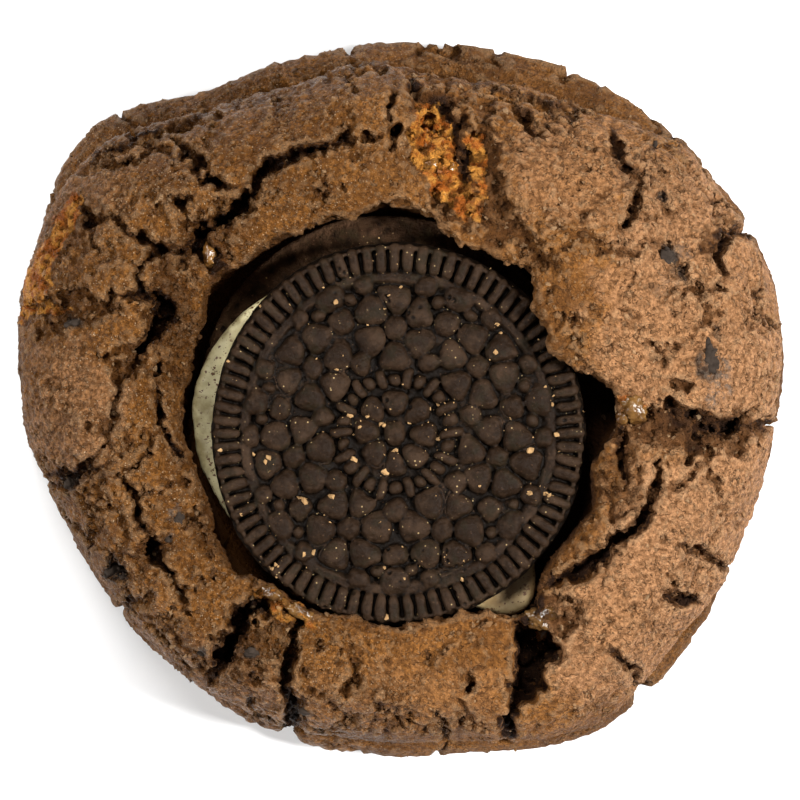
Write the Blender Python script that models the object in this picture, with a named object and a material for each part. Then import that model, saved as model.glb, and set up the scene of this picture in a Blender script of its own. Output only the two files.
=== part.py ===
"""A thick, dome-topped chocolate cookie with a cream-filled sandwich biscuit baked into its crown.

Four solids: the baked dough with its hollow and cracks, and the lower wafer, the cream and the embossed
upper wafer that lie in the hollow. The origin is on the flat base, under the middle of the cookie.
Sizes are in millimetres and angles in degrees, counterclockwise from +X; place() gives metres.
"""

import math
import random

import bmesh
import bpy
from mathutils import Vector, noise
from mathutils.bvhtree import BVHTree

MM = 0.001
SHARP_ANGLE = 38.0

# The sandwich biscuit: its wafers are discs of one size, the lower one pushed towards the back left.
WAFER_RADIUS = 22.0
WAFER_THICKNESS = 2.8
WAFER_EDGE = 0.5
CREAM_RADIUS = 21.4
CREAM_THICKNESS = 2.2
CREAM_EDGE = 0.6
CREAM_BULGE = {"angle": 168.0, "reach": 2.2, "half_width": 47.0, "bluntness": 1.0}
CREAM_TONGUE = {"angle": -54.0, "reach": 4.5, "half_width": 16.0, "bluntness": 0.7}
SANDWICH_CENTRE = Vector((-0.6, -4.0))
LOWER_WAFER_OFFSET = Vector((-0.8, 3.3))
TOUCH_GAP = 0.3

# The dough: a foot, a dome that steps in above it, and a hollow round the sandwich biscuit.
FOOT_RADII = (45.2, 45.5, 44.7, 43.5, 42.1, 41.9, 42.6, 48.0, 46.6,
              44.3, 42.2, 41.4, 41.5, 41.6, 43.2, 45.1, 44.3, 43.6)  # every 20 degrees
LIP_RADII = (25.3, 24.1, 22.0, 23.1, 24.3, 24.6, 26.4, 25.9, 26.0, 27.0, 25.3, 24.6, 25.2, 23.9, 24.2, 24.1,
             23.0, 22.5, 22.3, 22.5, 23.2, 24.0, 24.3, 24.2)  # every 15 degrees, round the sandwich
LEDGES = ((95.0, 62.0, 2.1), (-55.0, 32.0, 1.1), (262.0, 22.0, 0.7))  # angle, half width, width of the step
LEDGE_LEAST = 0.5
BASE_INSET = 3.6
FOOT_HEIGHT = 4.0
CREASE_HEIGHT = 7.6
SHOULDER_HEIGHT = 10.4
CROWN_HEIGHT = 26.6
CROWN_TILT = 1.0
CROWN_TILT_ANGLE = 40.0
CROWN_SHARE = 0.34  # where the crown lies between the lip, 0, and the shoulder, 1
LIP_DROP = 1.9
LIP_THICKNESS = 1.9
FLOOR_HEIGHT = 14.0
FLOOR_EDGE = 1.0
HOLLOW_CLEARANCE = 0.4
SWELLINGS = ((18.5, 12.5, 9.0, 1.0), (-37.0, -1.0, 8.0, 0.7), (28.0, -16.0, 8.0, 0.5), (4.6, 29.5, 5.5, -1.5),
             (34.5, -3.5, 5.0, -1.1), (-37.0, 11.5, 4.5, -1.0))  # x, y, radius, height
LUMP_SIZE = 9.0
LUMP_HEIGHT = 0.9

ANGLE_STEPS = 112
DOME_STEPS = 8
DISC_STEPS = 96

# Each crack runs along its points. A closed end tapers; one that opens into the hollow or out at the rim
# keeps its width.
CRACKS = (
    {"path": ((-2.9, 30.8), (-10.4, 29.3), (-16.1, 25.8), (-21.6, 20.3), (-20.6, 13.6)),
     "width": 2.0, "depth": 4.2, "opens": "end"},  # back left, along the hollow
    {"path": ((-26.0, 30.0), (-24.1, 28.1), (-22.7, 25.2), (-18.5, 24.9)),
     "width": 1.0, "depth": 2.2, "opens": "no"},
    {"path": ((-27.3, 23.4), (-25.0, 21.6), (-22.9, 19.4)), "width": 1.2, "depth": 2.6, "opens": "end"},
    {"path": ((-32.8, 21.0), (-30.1, 18.7), (-26.2, 17.2), (-23.0, 18.6)),
     "width": 1.0, "depth": 2.0, "opens": "end"},
    {"path": ((-32.4, 12.0), (-27.3, 10.8), (-29.8, 6.0), (-33.6, -0.4), (-34.0, -4.6), (-39.7, -9.4)),
     "width": 2.1, "depth": 3.8, "opens": "no"},  # left
    {"path": ((-44.4, 8.0), (-38.5, 9.6), (-32.6, 12.4)), "width": 3.0, "depth": 2.0, "opens": "start"},
    {"path": ((-35.5, -8.4), (-31.3, -10.6), (-28.9, -17.4), (-26.6, -21.4), (-24.4, -25.6)),
     "width": 1.5, "depth": 2.8, "opens": "no"},
    {"path": ((-14.6, -22.4), (-17.8, -25.4), (-19.4, -29.2), (-21.8, -33.0)),
     "width": 2.6, "depth": 5.0, "opens": "start"},  # front left
    {"path": ((-11.4, -25.0), (-12.9, -28.6), (-13.6, -34.0), (-12.6, -39.6), (-12.6, -42.4)),
     "width": 1.5, "depth": 3.0, "opens": "both"},
    {"path": ((15.2, -23.0), (15.8, -28.6), (15.6, -32.6), (12.8, -37.6), (12.6, -41.6)),
     "width": 3.2, "depth": 6.5, "opens": "start"},  # front right, below the cream's tongue
    {"path": ((18.7, -20.4), (23.2, -18.6), (28.2, -13.6), (29.8, -8.4)),
     "width": 1.4, "depth": 3.0, "opens": "no"},
    {"path": ((31.2, -22.6), (33.7, -23.7), (35.4, -24.4)), "width": 1.6, "depth": 2.4, "opens": "no"},
    {"path": ((24.6, -3.4), (29.3, -2.2), (36.6, -4.4), (43.2, -3.2), (46.0, -2.8)),
     "width": 2.8, "depth": 2.8, "opens": "both"},  # right
    {"path": ((25.2, 31.4), (26.2, 27.6), (27.9, 23.0), (25.2, 19.4)),
     "width": 1.5, "depth": 3.4, "opens": "no"},  # back right
    {"path": ((27.4, 22.8), (30.4, 22.4), (34.4, 22.0)), "width": 1.0, "depth": 2.0, "opens": "no"},
    {"path": ((43.6, 20.4), (40.2, 19.4), (36.8, 17.2), (38.0, 15.0)),
     "width": 1.2, "depth": 2.2, "opens": "start"},
    {"path": ((1.2, 38.8), (3.0, 34.0), (5.0, 28.6), (7.4, 21.4)),
     "width": 3.6, "depth": 4.2, "opens": "end"},  # back, the widest break
)
CRACK_STEP = 2.0
CRACK_JAG = 0.45
CRACK_TAPER = 0.4
CRACK_END_SHARE = 0.12
CRACK_HEADROOM = 5.0
CRACK_SEED = 7

# The relief on the upper wafer: a ribbed border round a field of petalled rosettes.
RELIEF_HEIGHT = 0.6
RELIEF_SINK = 0.4
STUD_TOP_SCALE = 0.72
RIB_TOP_SCALE = 0.8
RIB_COUNT = 84
RIB_SIZE = (3.0, 1.0)
ROSETTE_COUNT = 7
ROSETTE_RING_RADIUS = 12.3
PETAL_COUNT = 6
PETAL_REACH = 2.75
PETAL_SIZE = (2.6, 2.3)
PETAL_SIDES = 6
CENTRE_PETALS = 8
CENTRE_PETAL_REACH = 3.3
BUD_SIZE = (1.9, 1.9)
LEAF_SIZE = (2.2, 1.9)
LEAF_RING_RADIUS = 17.2
DASH_SIZE = (2.4, 0.85)
DASH_RING_RADIUS = 6.7
DASH_SPREAD = 12.9


def place(x, y, z):
    return Vector((x, y, z)) * MM


def around(values, degrees):
    """The value at an angle, on a smooth closed curve through evenly spaced values."""
    where = (degrees % 360.0) / 360.0 * len(values)
    first = int(where)
    t = where - first
    a, b, c, d = (values[(first + k) % len(values)] for k in (-1, 0, 1, 2))
    return b + 0.5 * t * (c - a + t * (2 * a - 5 * b + 4 * c - d + t * (3 * (b - c) + d - a)))


def hump(degrees, centre, half_width):
    """1 at the centre angle, falling smoothly to 0 at half_width to either side."""
    away = abs((degrees - centre + 180.0) % 360.0 - 180.0) / half_width
    return 0.0 if away >= 1 else 0.5 + 0.5 * math.cos(math.pi * away)


def direction(degrees):
    return Vector((math.cos(math.radians(degrees)), math.sin(math.radians(degrees))))


def loft(rings):
    """A closed mesh through rings of equal length, with a flat face across each end."""
    bm = bmesh.new()
    rows = [[bm.verts.new(point) for point in ring] for ring in rings]
    for lower, upper in zip(rows, rows[1:]):
        for k in range(len(lower)):
            n = (k + 1) % len(lower)
            bm.faces.new((lower[k], lower[n], upper[n], upper[k]))
    bm.faces.new(rows[0])
    bm.faces.new(rows[-1])
    bmesh.ops.recalc_face_normals(bm, faces=bm.faces)
    return bm


def to_mesh(name, bm):
    mesh = bpy.data.meshes.new(name)
    bm.to_mesh(mesh)
    bm.free()
    return mesh


def add_object(name, mesh, collection):
    obj = bpy.data.objects.new(name, mesh)
    collection.objects.link(obj)
    return obj


def shade(mesh):
    mesh.shade_smooth()
    mesh.set_sharp_from_angle(angle=math.radians(SHARP_ANGLE))


def merge_collection(obj, tools, operation):
    """Applies one Boolean between an object and a collection of closed shapes, then removes the shapes."""
    merge = obj.modifiers.new("merge", "BOOLEAN")
    merge.operation = operation
    merge.solver = "EXACT"
    merge.operand_type = "COLLECTION"
    merge.collection = tools
    graph = bpy.context.evaluated_depsgraph_get()
    merged = bpy.data.meshes.new_from_object(obj.evaluated_get(graph))
    obj.modifiers.remove(merge)
    obj.data = merged
    for tool in list(tools.objects):
        bpy.data.objects.remove(tool)
    bpy.data.collections.remove(tools)


def new_tools(name):
    tools = bpy.data.collections.new(name)
    bpy.context.scene.collection.children.link(tools)
    return tools


def new_material(name, colour, roughness):
    material = bpy.data.materials.new(name)
    material.use_nodes = True
    shader = material.node_tree.nodes["Principled BSDF"]
    shader.inputs["Base Color"].default_value = (*colour, 1.0)
    shader.inputs["Roughness"].default_value = roughness
    shader.inputs["Metallic"].default_value = 0.0
    return material


# ---- the dough ------------------------------------------------------------------------------------------


def lobe_reach(lobe, degrees):
    """How far a lobe of cream runs out past the filling's own edge."""
    return lobe["reach"] * hump(degrees, lobe["angle"], lobe["half_width"]) ** lobe["bluntness"]


def cream_radius(degrees):
    return CREAM_RADIUS + lobe_reach(CREAM_BULGE, degrees) + lobe_reach(CREAM_TONGUE, degrees)


def lower_wafer_reach(degrees):
    """How far the lower wafer's edge is from the sandwich's centre, in one direction."""
    ray = direction(degrees)
    across = LOWER_WAFER_OFFSET.x * ray.y - LOWER_WAFER_OFFSET.y * ray.x
    return LOWER_WAFER_OFFSET.dot(ray) + math.sqrt(WAFER_RADIUS ** 2 - across ** 2)


def lip_radius(degrees):
    """The dough's inner edge: it overhangs the upper wafer in places, and leaves the cream's tongue open."""
    return max(around(LIP_RADII, degrees), CREAM_RADIUS + lobe_reach(CREAM_TONGUE, degrees))


def wall_radius(degrees):
    """The hollow's wall, clear of all three discs of the sandwich biscuit and never inside the lip."""
    discs = max(WAFER_RADIUS, lower_wafer_reach(degrees), cream_radius(degrees))
    return max(discs + HOLLOW_CLEARANCE, lip_radius(degrees))


def ledge_width(degrees):
    return LEDGE_LEAST + sum(width * hump(degrees, at, half) for at, half, width in LEDGES)


def dome_rows(dome, crown_radius, crown):
    """The quarter round from the shoulder up to the crown, as rows of the profile."""
    rows = []
    for k in range(1, DOME_STEPS + 1):
        turn = 0.5 * math.pi * k / DOME_STEPS
        inward = 1 - math.cos(turn)
        height = SHOULDER_HEIGHT + (crown - SHOULDER_HEIGHT) * math.sin(turn) ** 0.9
        rows.append((inward, dome + (crown_radius - dome) * inward, height, 1.0))
    return rows


def dough_profile(degrees):
    """Rows from the base over the crown to the hollow's floor, each (inward, radius, height, crust).

    inward is 0 for a radius about the origin and 1 for one about the sandwich, and crust is the share
    of the baked surface's lumps that the row takes.
    """
    foot = around(FOOT_RADII, degrees)
    ledge = ledge_width(degrees)
    dome = foot - ledge
    lip = lip_radius(degrees)
    wall = wall_radius(degrees)
    crown = CROWN_HEIGHT + CROWN_TILT * math.cos(math.radians(degrees - CROWN_TILT_ANGLE))
    crown_radius = lip + CROWN_SHARE * (dome - lip)
    edge = crown - LIP_DROP
    return [
        (0.0, 0.5 * foot, 0.0, 0.0),
        (0.0, foot - BASE_INSET, 0.0, 0.0),
        (0.0, foot - 0.35 * BASE_INSET, 0.22 * FOOT_HEIGHT, 0.2),
        (0.0, foot, FOOT_HEIGHT, 0.5),
        (0.0, foot - 0.45 * ledge, 0.75 * CREASE_HEIGHT, 0.8),
        (0.0, dome - 0.25 * ledge, CREASE_HEIGHT, 1.0),
        (0.0, dome, SHOULDER_HEIGHT, 1.0),
        *dome_rows(dome, crown_radius, crown),
        (1.0, lip + 0.55 * (crown_radius - lip), crown - 0.18 * LIP_DROP, 1.0),
        (1.0, lip + 0.15 * (crown_radius - lip), crown - 0.55 * LIP_DROP, 0.5),
        (1.0, lip, edge, 0.0),
        (1.0, lip, edge - 0.35 * LIP_THICKNESS, 0.0),
        (1.0, wall, edge - LIP_THICKNESS, 0.0),
        (1.0, wall, FLOOR_HEIGHT + FLOOR_EDGE, 0.0),
        (1.0, wall - 0.7 * FLOOR_EDGE, FLOOR_HEIGHT, 0.0),
        (1.0, 0.5 * wall, FLOOR_HEIGHT, 0.0),
    ]


def swelling(flat):
    """Slow rises and hollows of the crust."""
    rise = 0.0
    for x, y, radius, height in SWELLINGS:
        rise += height * math.exp(-((flat.x - x) ** 2 + (flat.y - y) ** 2) / radius ** 2)
    return rise


def crust_point(ray, inward, radius, height, crust):
    """One point of the dough, pushed out sideways or upwards by the crust's lumps."""
    flat = SANDWICH_CENTRE * inward + ray * radius
    lump = crust * LUMP_HEIGHT * noise.noise(Vector((flat.x, flat.y, height)) / LUMP_SIZE)
    flat += ray * lump * (1.0 - inward)
    rise = inward * (lump + crust * swelling(flat))
    return place(flat.x, flat.y, height + rise)


def dough_mesh():
    rays = []
    for k in range(ANGLE_STEPS):
        degrees = 360.0 * k / ANGLE_STEPS
        rays.append([crust_point(direction(degrees), *row) for row in dough_profile(degrees)])
    return to_mesh("dough", loft(list(zip(*rays))))


def crack_line(points, jag):
    """The path in short steps, with each point but the ends pushed a little to one side."""
    line = [Vector(points[0])]
    for a, b in zip(points, points[1:]):
        a, b = Vector(a), Vector(b)
        count = max(1, round((b - a).length / CRACK_STEP))
        side = Vector((b.y - a.y, a.x - b.x)).normalized()
        for k in range(1, count + 1):
            line.append(a.lerp(b, k / count) + side * jag.uniform(-CRACK_JAG, CRACK_JAG))
    line[-1] = Vector(points[-1])
    return line


def crack_opening(share, opens):
    """How open the crack is at a share of its length, from near 0 at a closed end to 1."""
    start = 1.0 if opens in ("start", "both") else share / CRACK_TAPER
    end = 1.0 if opens in ("end", "both") else (1.0 - share) / CRACK_TAPER
    return CRACK_END_SHARE + (1.0 - CRACK_END_SHARE) * min(1.0, start, end)


def crack_cutter(crack, surface, jag):
    """A V-shaped trough that follows the crust's height along the crack."""
    line = crack_line(crack["path"], jag)
    sections = []
    height = SHOULDER_HEIGHT
    for k, middle in enumerate(line):
        ahead = line[min(k + 1, len(line) - 1)] - line[max(k - 1, 0)]
        side = Vector((ahead.y, -ahead.x)).normalized()
        opening = crack_opening(k / (len(line) - 1), crack["opens"])
        half = 0.5 * crack["width"] * opening * jag.uniform(0.8, 1.2)
        depth = crack["depth"] * (0.25 + 0.75 * opening)
        hit = surface.ray_cast(place(middle.x, middle.y, 2 * CROWN_HEIGHT), Vector((0.0, 0.0, -1.0)))[0]
        if hit is not None and hit.z / MM > FLOOR_HEIGHT + FLOOR_EDGE:
            height = hit.z / MM
        shape = ((0.0, -depth), (half, 0.0), (half, CRACK_HEADROOM), (-half, CRACK_HEADROOM), (-half, 0.0))
        section = []
        for across, up in shape:
            flat = middle + side * across
            section.append(place(flat.x, flat.y, height + up))
        sections.append(section)
    return loft(sections)


def build_dough(material):
    dough = add_object("dough", dough_mesh(), bpy.context.scene.collection)
    mesh = dough.data
    faces = [face.vertices for face in mesh.polygons]
    surface = BVHTree.FromPolygons([vert.co for vert in mesh.vertices], faces)
    jag = random.Random(CRACK_SEED)
    cutters = new_tools("cracks")
    for number, crack in enumerate(CRACKS):
        name = f"crack_{number}"
        add_object(name, to_mesh(name, crack_cutter(crack, surface, jag)), cutters)
    merge_collection(dough, cutters, "DIFFERENCE")
    dough.data.materials.append(material)
    shade(dough.data)
    return dough


# ---- the sandwich biscuit -------------------------------------------------------------------------------


def wafer_radius(degrees):
    return WAFER_RADIUS


def disc_mesh(name, radius_at, thickness, edge, steps):
    """A slab with rounded rims, its base on z = 0 and its outline given by radius_at(degrees)."""
    bm = bmesh.new()
    bmesh.ops.create_cone(bm, cap_ends=True, segments=steps, radius1=1.0, radius2=1.0, depth=1.0)
    for vert in bm.verts:
        reach = radius_at(math.degrees(math.atan2(vert.co.y, vert.co.x)))
        vert.co = place(vert.co.x * reach, vert.co.y * reach, (vert.co.z + 0.5) * thickness)
    caps = [face for face in bm.faces if len(face.verts) == steps]
    rims = [rim for face in caps for rim in face.edges]
    bmesh.ops.bevel(bm, geom=rims, offset=edge * MM, segments=2, profile=0.5, affect="EDGES")
    return to_mesh(name, bm)


def add_disc(name, mesh, centre, low, material):
    disc = add_object(name, mesh, bpy.context.scene.collection)
    disc.location = place(centre.x, centre.y, low)
    disc.data.materials.append(material)
    shade(disc.data)
    return disc


def oval(size):
    """The plan of a petal: blunt, and a little wider at its outer end."""
    length, width = size
    turns = [2 * math.pi * (k + 0.5) / PETAL_SIDES for k in range(PETAL_SIDES)]
    return [(0.5 * length * math.cos(t), 0.5 * width * (1 + 0.2 * math.cos(t)) * math.sin(t)) for t in turns]


def bar(size):
    length, width = size
    return [(0.5 * length * x, 0.5 * width * y) for x, y in ((-1, -1), (1, -1), (1, 1), (-1, 1))]


def stud_mesh(name, plan, top_scale):
    """A raised shape with sloping sides, which reaches a little below z = 0 to sink into the plate."""
    levels = ((1.0, -RELIEF_SINK), (1.0, 0.0), (top_scale, RELIEF_HEIGHT))
    return to_mesh(name, loft([[place(scale * x, scale * y, z) for x, y in plan] for scale, z in levels]))


def put_stud(studs, mesh, centre, degrees, top):
    stud = add_object(mesh.name, mesh, studs)
    stud.location = place(centre.x, centre.y, top)
    stud.rotation_euler.z = math.radians(degrees)


def put_rosette(studs, petal, bud, centre, count, reach, degrees, top):
    put_stud(studs, bud, centre, degrees, top)
    for k in range(count):
        turn = degrees + 360.0 * k / count
        put_stud(studs, petal, centre + direction(turn) * reach, turn, top)


def wafer_relief(top):
    """Every raised piece of the wafer's face, in one collection."""
    studs = new_tools("relief")
    rib = stud_mesh("rib", bar(RIB_SIZE), RIB_TOP_SCALE)
    dash = stud_mesh("dash", bar(DASH_SIZE), RIB_TOP_SCALE)
    petal = stud_mesh("petal", oval(PETAL_SIZE), STUD_TOP_SCALE)
    bud = stud_mesh("bud", oval(BUD_SIZE), STUD_TOP_SCALE)
    leaf = stud_mesh("leaf", oval(LEAF_SIZE), STUD_TOP_SCALE)
    rib_radius = WAFER_RADIUS - WAFER_EDGE - 0.5 * RIB_SIZE[0]
    for k in range(RIB_COUNT):
        turn = 360.0 * k / RIB_COUNT
        put_stud(studs, rib, SANDWICH_CENTRE + direction(turn) * rib_radius, turn, top)
    put_rosette(studs, petal, bud, SANDWICH_CENTRE, CENTRE_PETALS, CENTRE_PETAL_REACH, 0.0, top)
    for k in range(ROSETTE_COUNT):
        turn = 90.0 + 360.0 * k / ROSETTE_COUNT
        middle = SANDWICH_CENTRE + direction(turn) * ROSETTE_RING_RADIUS
        put_rosette(studs, petal, bud, middle, PETAL_COUNT, PETAL_REACH, turn, top)
        between = turn + 180.0 / ROSETTE_COUNT
        put_stud(studs, leaf, SANDWICH_CENTRE + direction(between) * LEAF_RING_RADIUS, between, top)
        for spread in (-DASH_SPREAD, DASH_SPREAD):
            put_stud(studs, dash, SANDWICH_CENTRE + direction(between + spread) * DASH_RING_RADIUS,
                     between + spread, top)
    return studs


def build_sandwich(wafer_material, cream_material):
    """The three discs one above the other, and the relief on the top one."""
    low = FLOOR_HEIGHT + TOUCH_GAP
    mesh = disc_mesh("lower_wafer", wafer_radius, WAFER_THICKNESS, WAFER_EDGE, DISC_STEPS // 2)
    lower = add_disc("lower_wafer", mesh, SANDWICH_CENTRE + LOWER_WAFER_OFFSET, low, wafer_material)
    low += WAFER_THICKNESS + TOUCH_GAP
    mesh = disc_mesh("cream", cream_radius, CREAM_THICKNESS, CREAM_EDGE, DISC_STEPS)
    cream = add_disc("cream", mesh, SANDWICH_CENTRE, low, cream_material)
    low += CREAM_THICKNESS + TOUCH_GAP
    mesh = disc_mesh("upper_wafer", wafer_radius, WAFER_THICKNESS, WAFER_EDGE, DISC_STEPS)
    upper = add_disc("upper_wafer", mesh, SANDWICH_CENTRE, low, wafer_material)
    merge_collection(upper, wafer_relief(low + WAFER_THICKNESS), "UNION")
    shade(upper.data)
    return [lower, cream, upper]


def stand_on_origin(pieces, dough):
    """Hangs every piece from one empty and moves it, so the footprint's middle is at the origin."""
    corners = [dough.matrix_world @ vert.co for vert in dough.data.vertices]
    low = Vector(min(corner[axis] for corner in corners) for axis in range(3))
    high = Vector(max(corner[axis] for corner in corners) for axis in range(3))
    middle = 0.5 * (low + high)
    cookie = add_object("cookie", None, bpy.context.scene.collection)
    cookie.location = (-middle.x, -middle.y, -low.z)
    for piece in pieces:
        piece.parent = cookie


def build():
    for obj in list(bpy.data.objects):
        bpy.data.objects.remove(obj)
    crust = new_material("baked_crust", (0.19, 0.085, 0.035), 0.85)
    dark = new_material("dark_wafer", (0.03, 0.018, 0.011), 0.62)
    filling = new_material("pale_cream", (0.62, 0.55, 0.36), 0.5)
    dough = build_dough(crust)
    discs = build_sandwich(dark, filling)
    stand_on_origin([dough, *discs], dough)


build()
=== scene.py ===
import math

import bmesh
import bpy
import numpy as np
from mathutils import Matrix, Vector, noise
from mathutils.bvhtree import BVHTree


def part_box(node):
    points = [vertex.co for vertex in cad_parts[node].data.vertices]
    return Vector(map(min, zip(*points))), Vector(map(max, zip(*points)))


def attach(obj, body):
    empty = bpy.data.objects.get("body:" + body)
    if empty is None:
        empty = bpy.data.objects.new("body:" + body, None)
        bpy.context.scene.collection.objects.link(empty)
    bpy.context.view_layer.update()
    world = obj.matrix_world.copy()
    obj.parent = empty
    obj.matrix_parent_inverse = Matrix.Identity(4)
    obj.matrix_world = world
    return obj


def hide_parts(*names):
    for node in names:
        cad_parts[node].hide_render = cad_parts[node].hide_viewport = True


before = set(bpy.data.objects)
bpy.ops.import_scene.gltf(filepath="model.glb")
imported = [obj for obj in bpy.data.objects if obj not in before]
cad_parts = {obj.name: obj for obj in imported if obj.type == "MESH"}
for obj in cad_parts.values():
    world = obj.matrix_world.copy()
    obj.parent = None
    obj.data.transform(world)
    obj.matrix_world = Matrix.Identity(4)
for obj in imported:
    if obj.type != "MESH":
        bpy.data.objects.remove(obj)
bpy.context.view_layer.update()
mm = 0.001

# Places below are in millimetres from the middle of the cookie's plan, angles in degrees from +X.
waferLow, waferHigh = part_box("upper_wafer")
sandwichPlace = np.array((-0.6, -4.0))
planShift = np.array(((waferLow.x + waferHigh.x) / 2, (waferLow.y + waferHigh.y) / 2)) / mm - sandwichPlace


def smoothStep(low, high, value):
    share = np.clip((value - low) / (high - low), 0.0, 1.0)
    return share * share * (3.0 - 2.0 * share)


def around(values, degrees):  # smooth closed curve through evenly spaced values
    values = np.asarray(values)
    where = (np.asarray(degrees) % 360.0) / 360.0 * len(values)
    first = where.astype(int)
    t = where - first
    a, b, c, d = (values[(first + k) % len(values)] for k in (-1, 0, 1, 2))
    return b + 0.5 * t * (c - a + t * (2 * a - 5 * b + 4 * c - d + t * (3 * (b - c) + d - a)))


def hump(degrees, centre, halfWidth):  # 1 at the centre angle, 0 from halfWidth on
    away = np.abs((degrees - centre + 180.0) % 360.0 - 180.0) / halfWidth
    return np.where(away >= 1.0, 0.0, 0.5 + 0.5 * np.cos(np.pi * np.minimum(away, 1.0)))


def hashed(x, y, z, seed):  # a fixed random share for each whole-number cell
    h = (x * 73856093) ^ (y * 19349663) ^ (z * 83492791) ^ (seed * 40503 + 1013904223)
    h = ((h ^ (h >> 13)) * 1274126177) & 0xFFFFFFFF
    h = ((h ^ (h >> 16)) * 2246822519) & 0xFFFFFFFF
    return ((h ^ (h >> 15)) & 0xFFFFF) / 0xFFFFF


def grain(points, size, seed):  # value noise from -1 to 1, one lump every size mm
    scaled = points / size
    cell = np.floor(scaled).astype(np.int64)
    t = scaled - cell
    t = t * t * (3.0 - 2.0 * t)
    total = 0.0
    for corner in range(8):
        dx, dy, dz = corner & 1, corner >> 1 & 1, corner >> 2
        share = hashed(cell[..., 0] + dx, cell[..., 1] + dy, cell[..., 2] + dz, seed)
        weight = (t[..., 0] if dx else 1 - t[..., 0]) * (t[..., 1] if dy else 1 - t[..., 1])
        total = total + share * weight * (t[..., 2] if dz else 1 - t[..., 2])
    return total * 2.0 - 1.0


def layeredGrain(points, size, seed, layers=3, keep=0.5):
    total, strength, norm = 0.0, 1.0, 0.0
    for layer in range(layers):
        total = total + strength * grain(points, size / 2.03 ** layer, seed + layer * 17)
        norm += strength
        strength *= keep
    return total / norm


# distance to the nearest scattered point and to the next one, and the nearest one's random share
def cells(points, size, seed, flat=False):
    scaled = points / size
    cell = np.floor(scaled).astype(np.int64)
    nearest = np.full(scaled.shape[:-1], 9.0)
    second = nearest.copy()
    pick = np.zeros_like(nearest)
    for dx in (-1, 0, 1):
        for dy in (-1, 0, 1):
            for dz in ((0,) if flat else (-1, 0, 1)):
                x, y, z = cell[..., 0] + dx, cell[..., 1] + dy, cell[..., 2] + dz
                away = (x + hashed(x, y, z, seed) - scaled[..., 0]) ** 2
                away += (y + hashed(x, y, z, seed + 1) - scaled[..., 1]) ** 2
                if not flat:
                    away += (z + hashed(x, y, z, seed + 2) - scaled[..., 2]) ** 2
                second = np.minimum(second, np.maximum(nearest, away))
                pick = np.where(away < nearest, hashed(x, y, z, seed + 3), pick)
                nearest = np.minimum(nearest, away)
    return np.sqrt(nearest), np.sqrt(second), pick


def gridMesh(name, grid):  # closed mesh from rows of points, with a fan over each end
    rows, steps = grid.shape[:2]
    points = np.concatenate([grid.reshape(-1, 3), [grid[0].mean(0), grid[-1].mean(0)]])
    ids = np.arange(rows * steps).reshape(rows, steps)
    ahead = np.roll(ids, -1, axis=1)
    quads = np.stack([ids[:-1], ahead[:-1], ahead[1:], ids[1:]], axis=-1).reshape(-1, 4)
    first = np.stack([ahead[0], ids[0], np.full(steps, rows * steps)], axis=-1)
    last = np.stack([ids[-1], ahead[-1], np.full(steps, rows * steps + 1)], axis=-1)
    corners = np.concatenate([quads.ravel(), first.ravel(), last.ravel()])
    starts = np.concatenate([np.arange(len(quads)) * 4, quads.size + np.arange(2 * steps) * 3])
    mesh = bpy.data.meshes.new(name)
    mesh.vertices.add(len(points))
    mesh.vertices.foreach_set("co", (points * mm).astype(np.float32).ravel())
    mesh.loops.add(len(corners))
    mesh.loops.foreach_set("vertex_index", corners.astype(np.int32))
    mesh.polygons.add(len(starts))
    mesh.polygons.foreach_set("loop_start", starts.astype(np.int32))
    mesh.update(calc_edges=True)
    return mesh


def readPoints(mesh):
    points = np.empty(len(mesh.vertices) * 3, np.float32)
    mesh.vertices.foreach_get("co", points)
    return points.reshape(-1, 3).astype(float) / mm


def readNormals(mesh):
    normals = np.empty(len(mesh.vertices) * 3, np.float32)
    mesh.vertex_normals.foreach_get("vector", normals)
    return normals.reshape(-1, 3).astype(float)


def movePoints(mesh, points):
    mesh.vertices.foreach_set("co", (points * mm).astype(np.float32).ravel())
    mesh.update()


def storeShare(mesh, name, values):
    layer = mesh.attributes.new(name, "FLOAT", "POINT")
    layer.data.foreach_set("value", np.clip(values, 0.0, 1.0).astype(np.float32))


def paint(mesh, material):
    mesh.materials.clear()
    mesh.materials.append(material)
    mesh.shade_smooth()


def addPiece(name, mesh, material=None):
    piece = bpy.data.objects.new(name, mesh)
    bpy.context.scene.collection.objects.link(piece)
    mesh.shade_smooth()
    if material:
        paint(mesh, material)
    return piece


def settle(piece):  # turns a piece's modifiers into plain mesh
    graph = bpy.context.evaluated_depsgraph_get()
    plain = bpy.data.meshes.new_from_object(piece.evaluated_get(graph))
    old = piece.data
    piece.modifiers.clear()
    piece.data = plain
    bpy.data.meshes.remove(old)
    return plain


def remesh(piece, voxel):
    step = piece.modifiers.new("remesh", "REMESH")
    step.mode = "VOXEL"
    step.voxel_size = voxel * mm
    step.use_smooth_shade = True
    return settle(piece)


thinLevels = 8


def thin(piece, limit, thinness=None):  # collapses edges until the piece has at most limit triangles
    mesh = piece.data
    mesh.calc_loop_triangles()
    count = len(mesh.loop_triangles)
    if count > limit:
        step = piece.modifiers.new("thin", "DECIMATE")
        step.ratio = limit / count
        step.use_collapse_triangulate = True
        if thinness is not None:
            group = piece.vertex_groups.new(name="thinness")
            levels = np.round(np.clip(thinness, 0.0, 1.0) * thinLevels).astype(int)
            for level in range(1, thinLevels + 1):
                group.add(np.nonzero(levels == level)[0].tolist(), level / thinLevels, "REPLACE")
            step.vertex_group = "thinness"
            step.vertex_group_factor = 1.0
        settle(piece)
        piece.vertex_groups.clear()
    return piece.data


def addNode(tree, kind, values=None, **settings):
    made = tree.nodes.new(kind)
    for name, value in settings.items():
        setattr(made, name, value)
    for key, value in (values or {}).items():
        if isinstance(value, bpy.types.NodeSocket):
            tree.links.new(value, made.inputs[key])
        else:
            made.inputs[key].default_value = value
    return made


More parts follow.
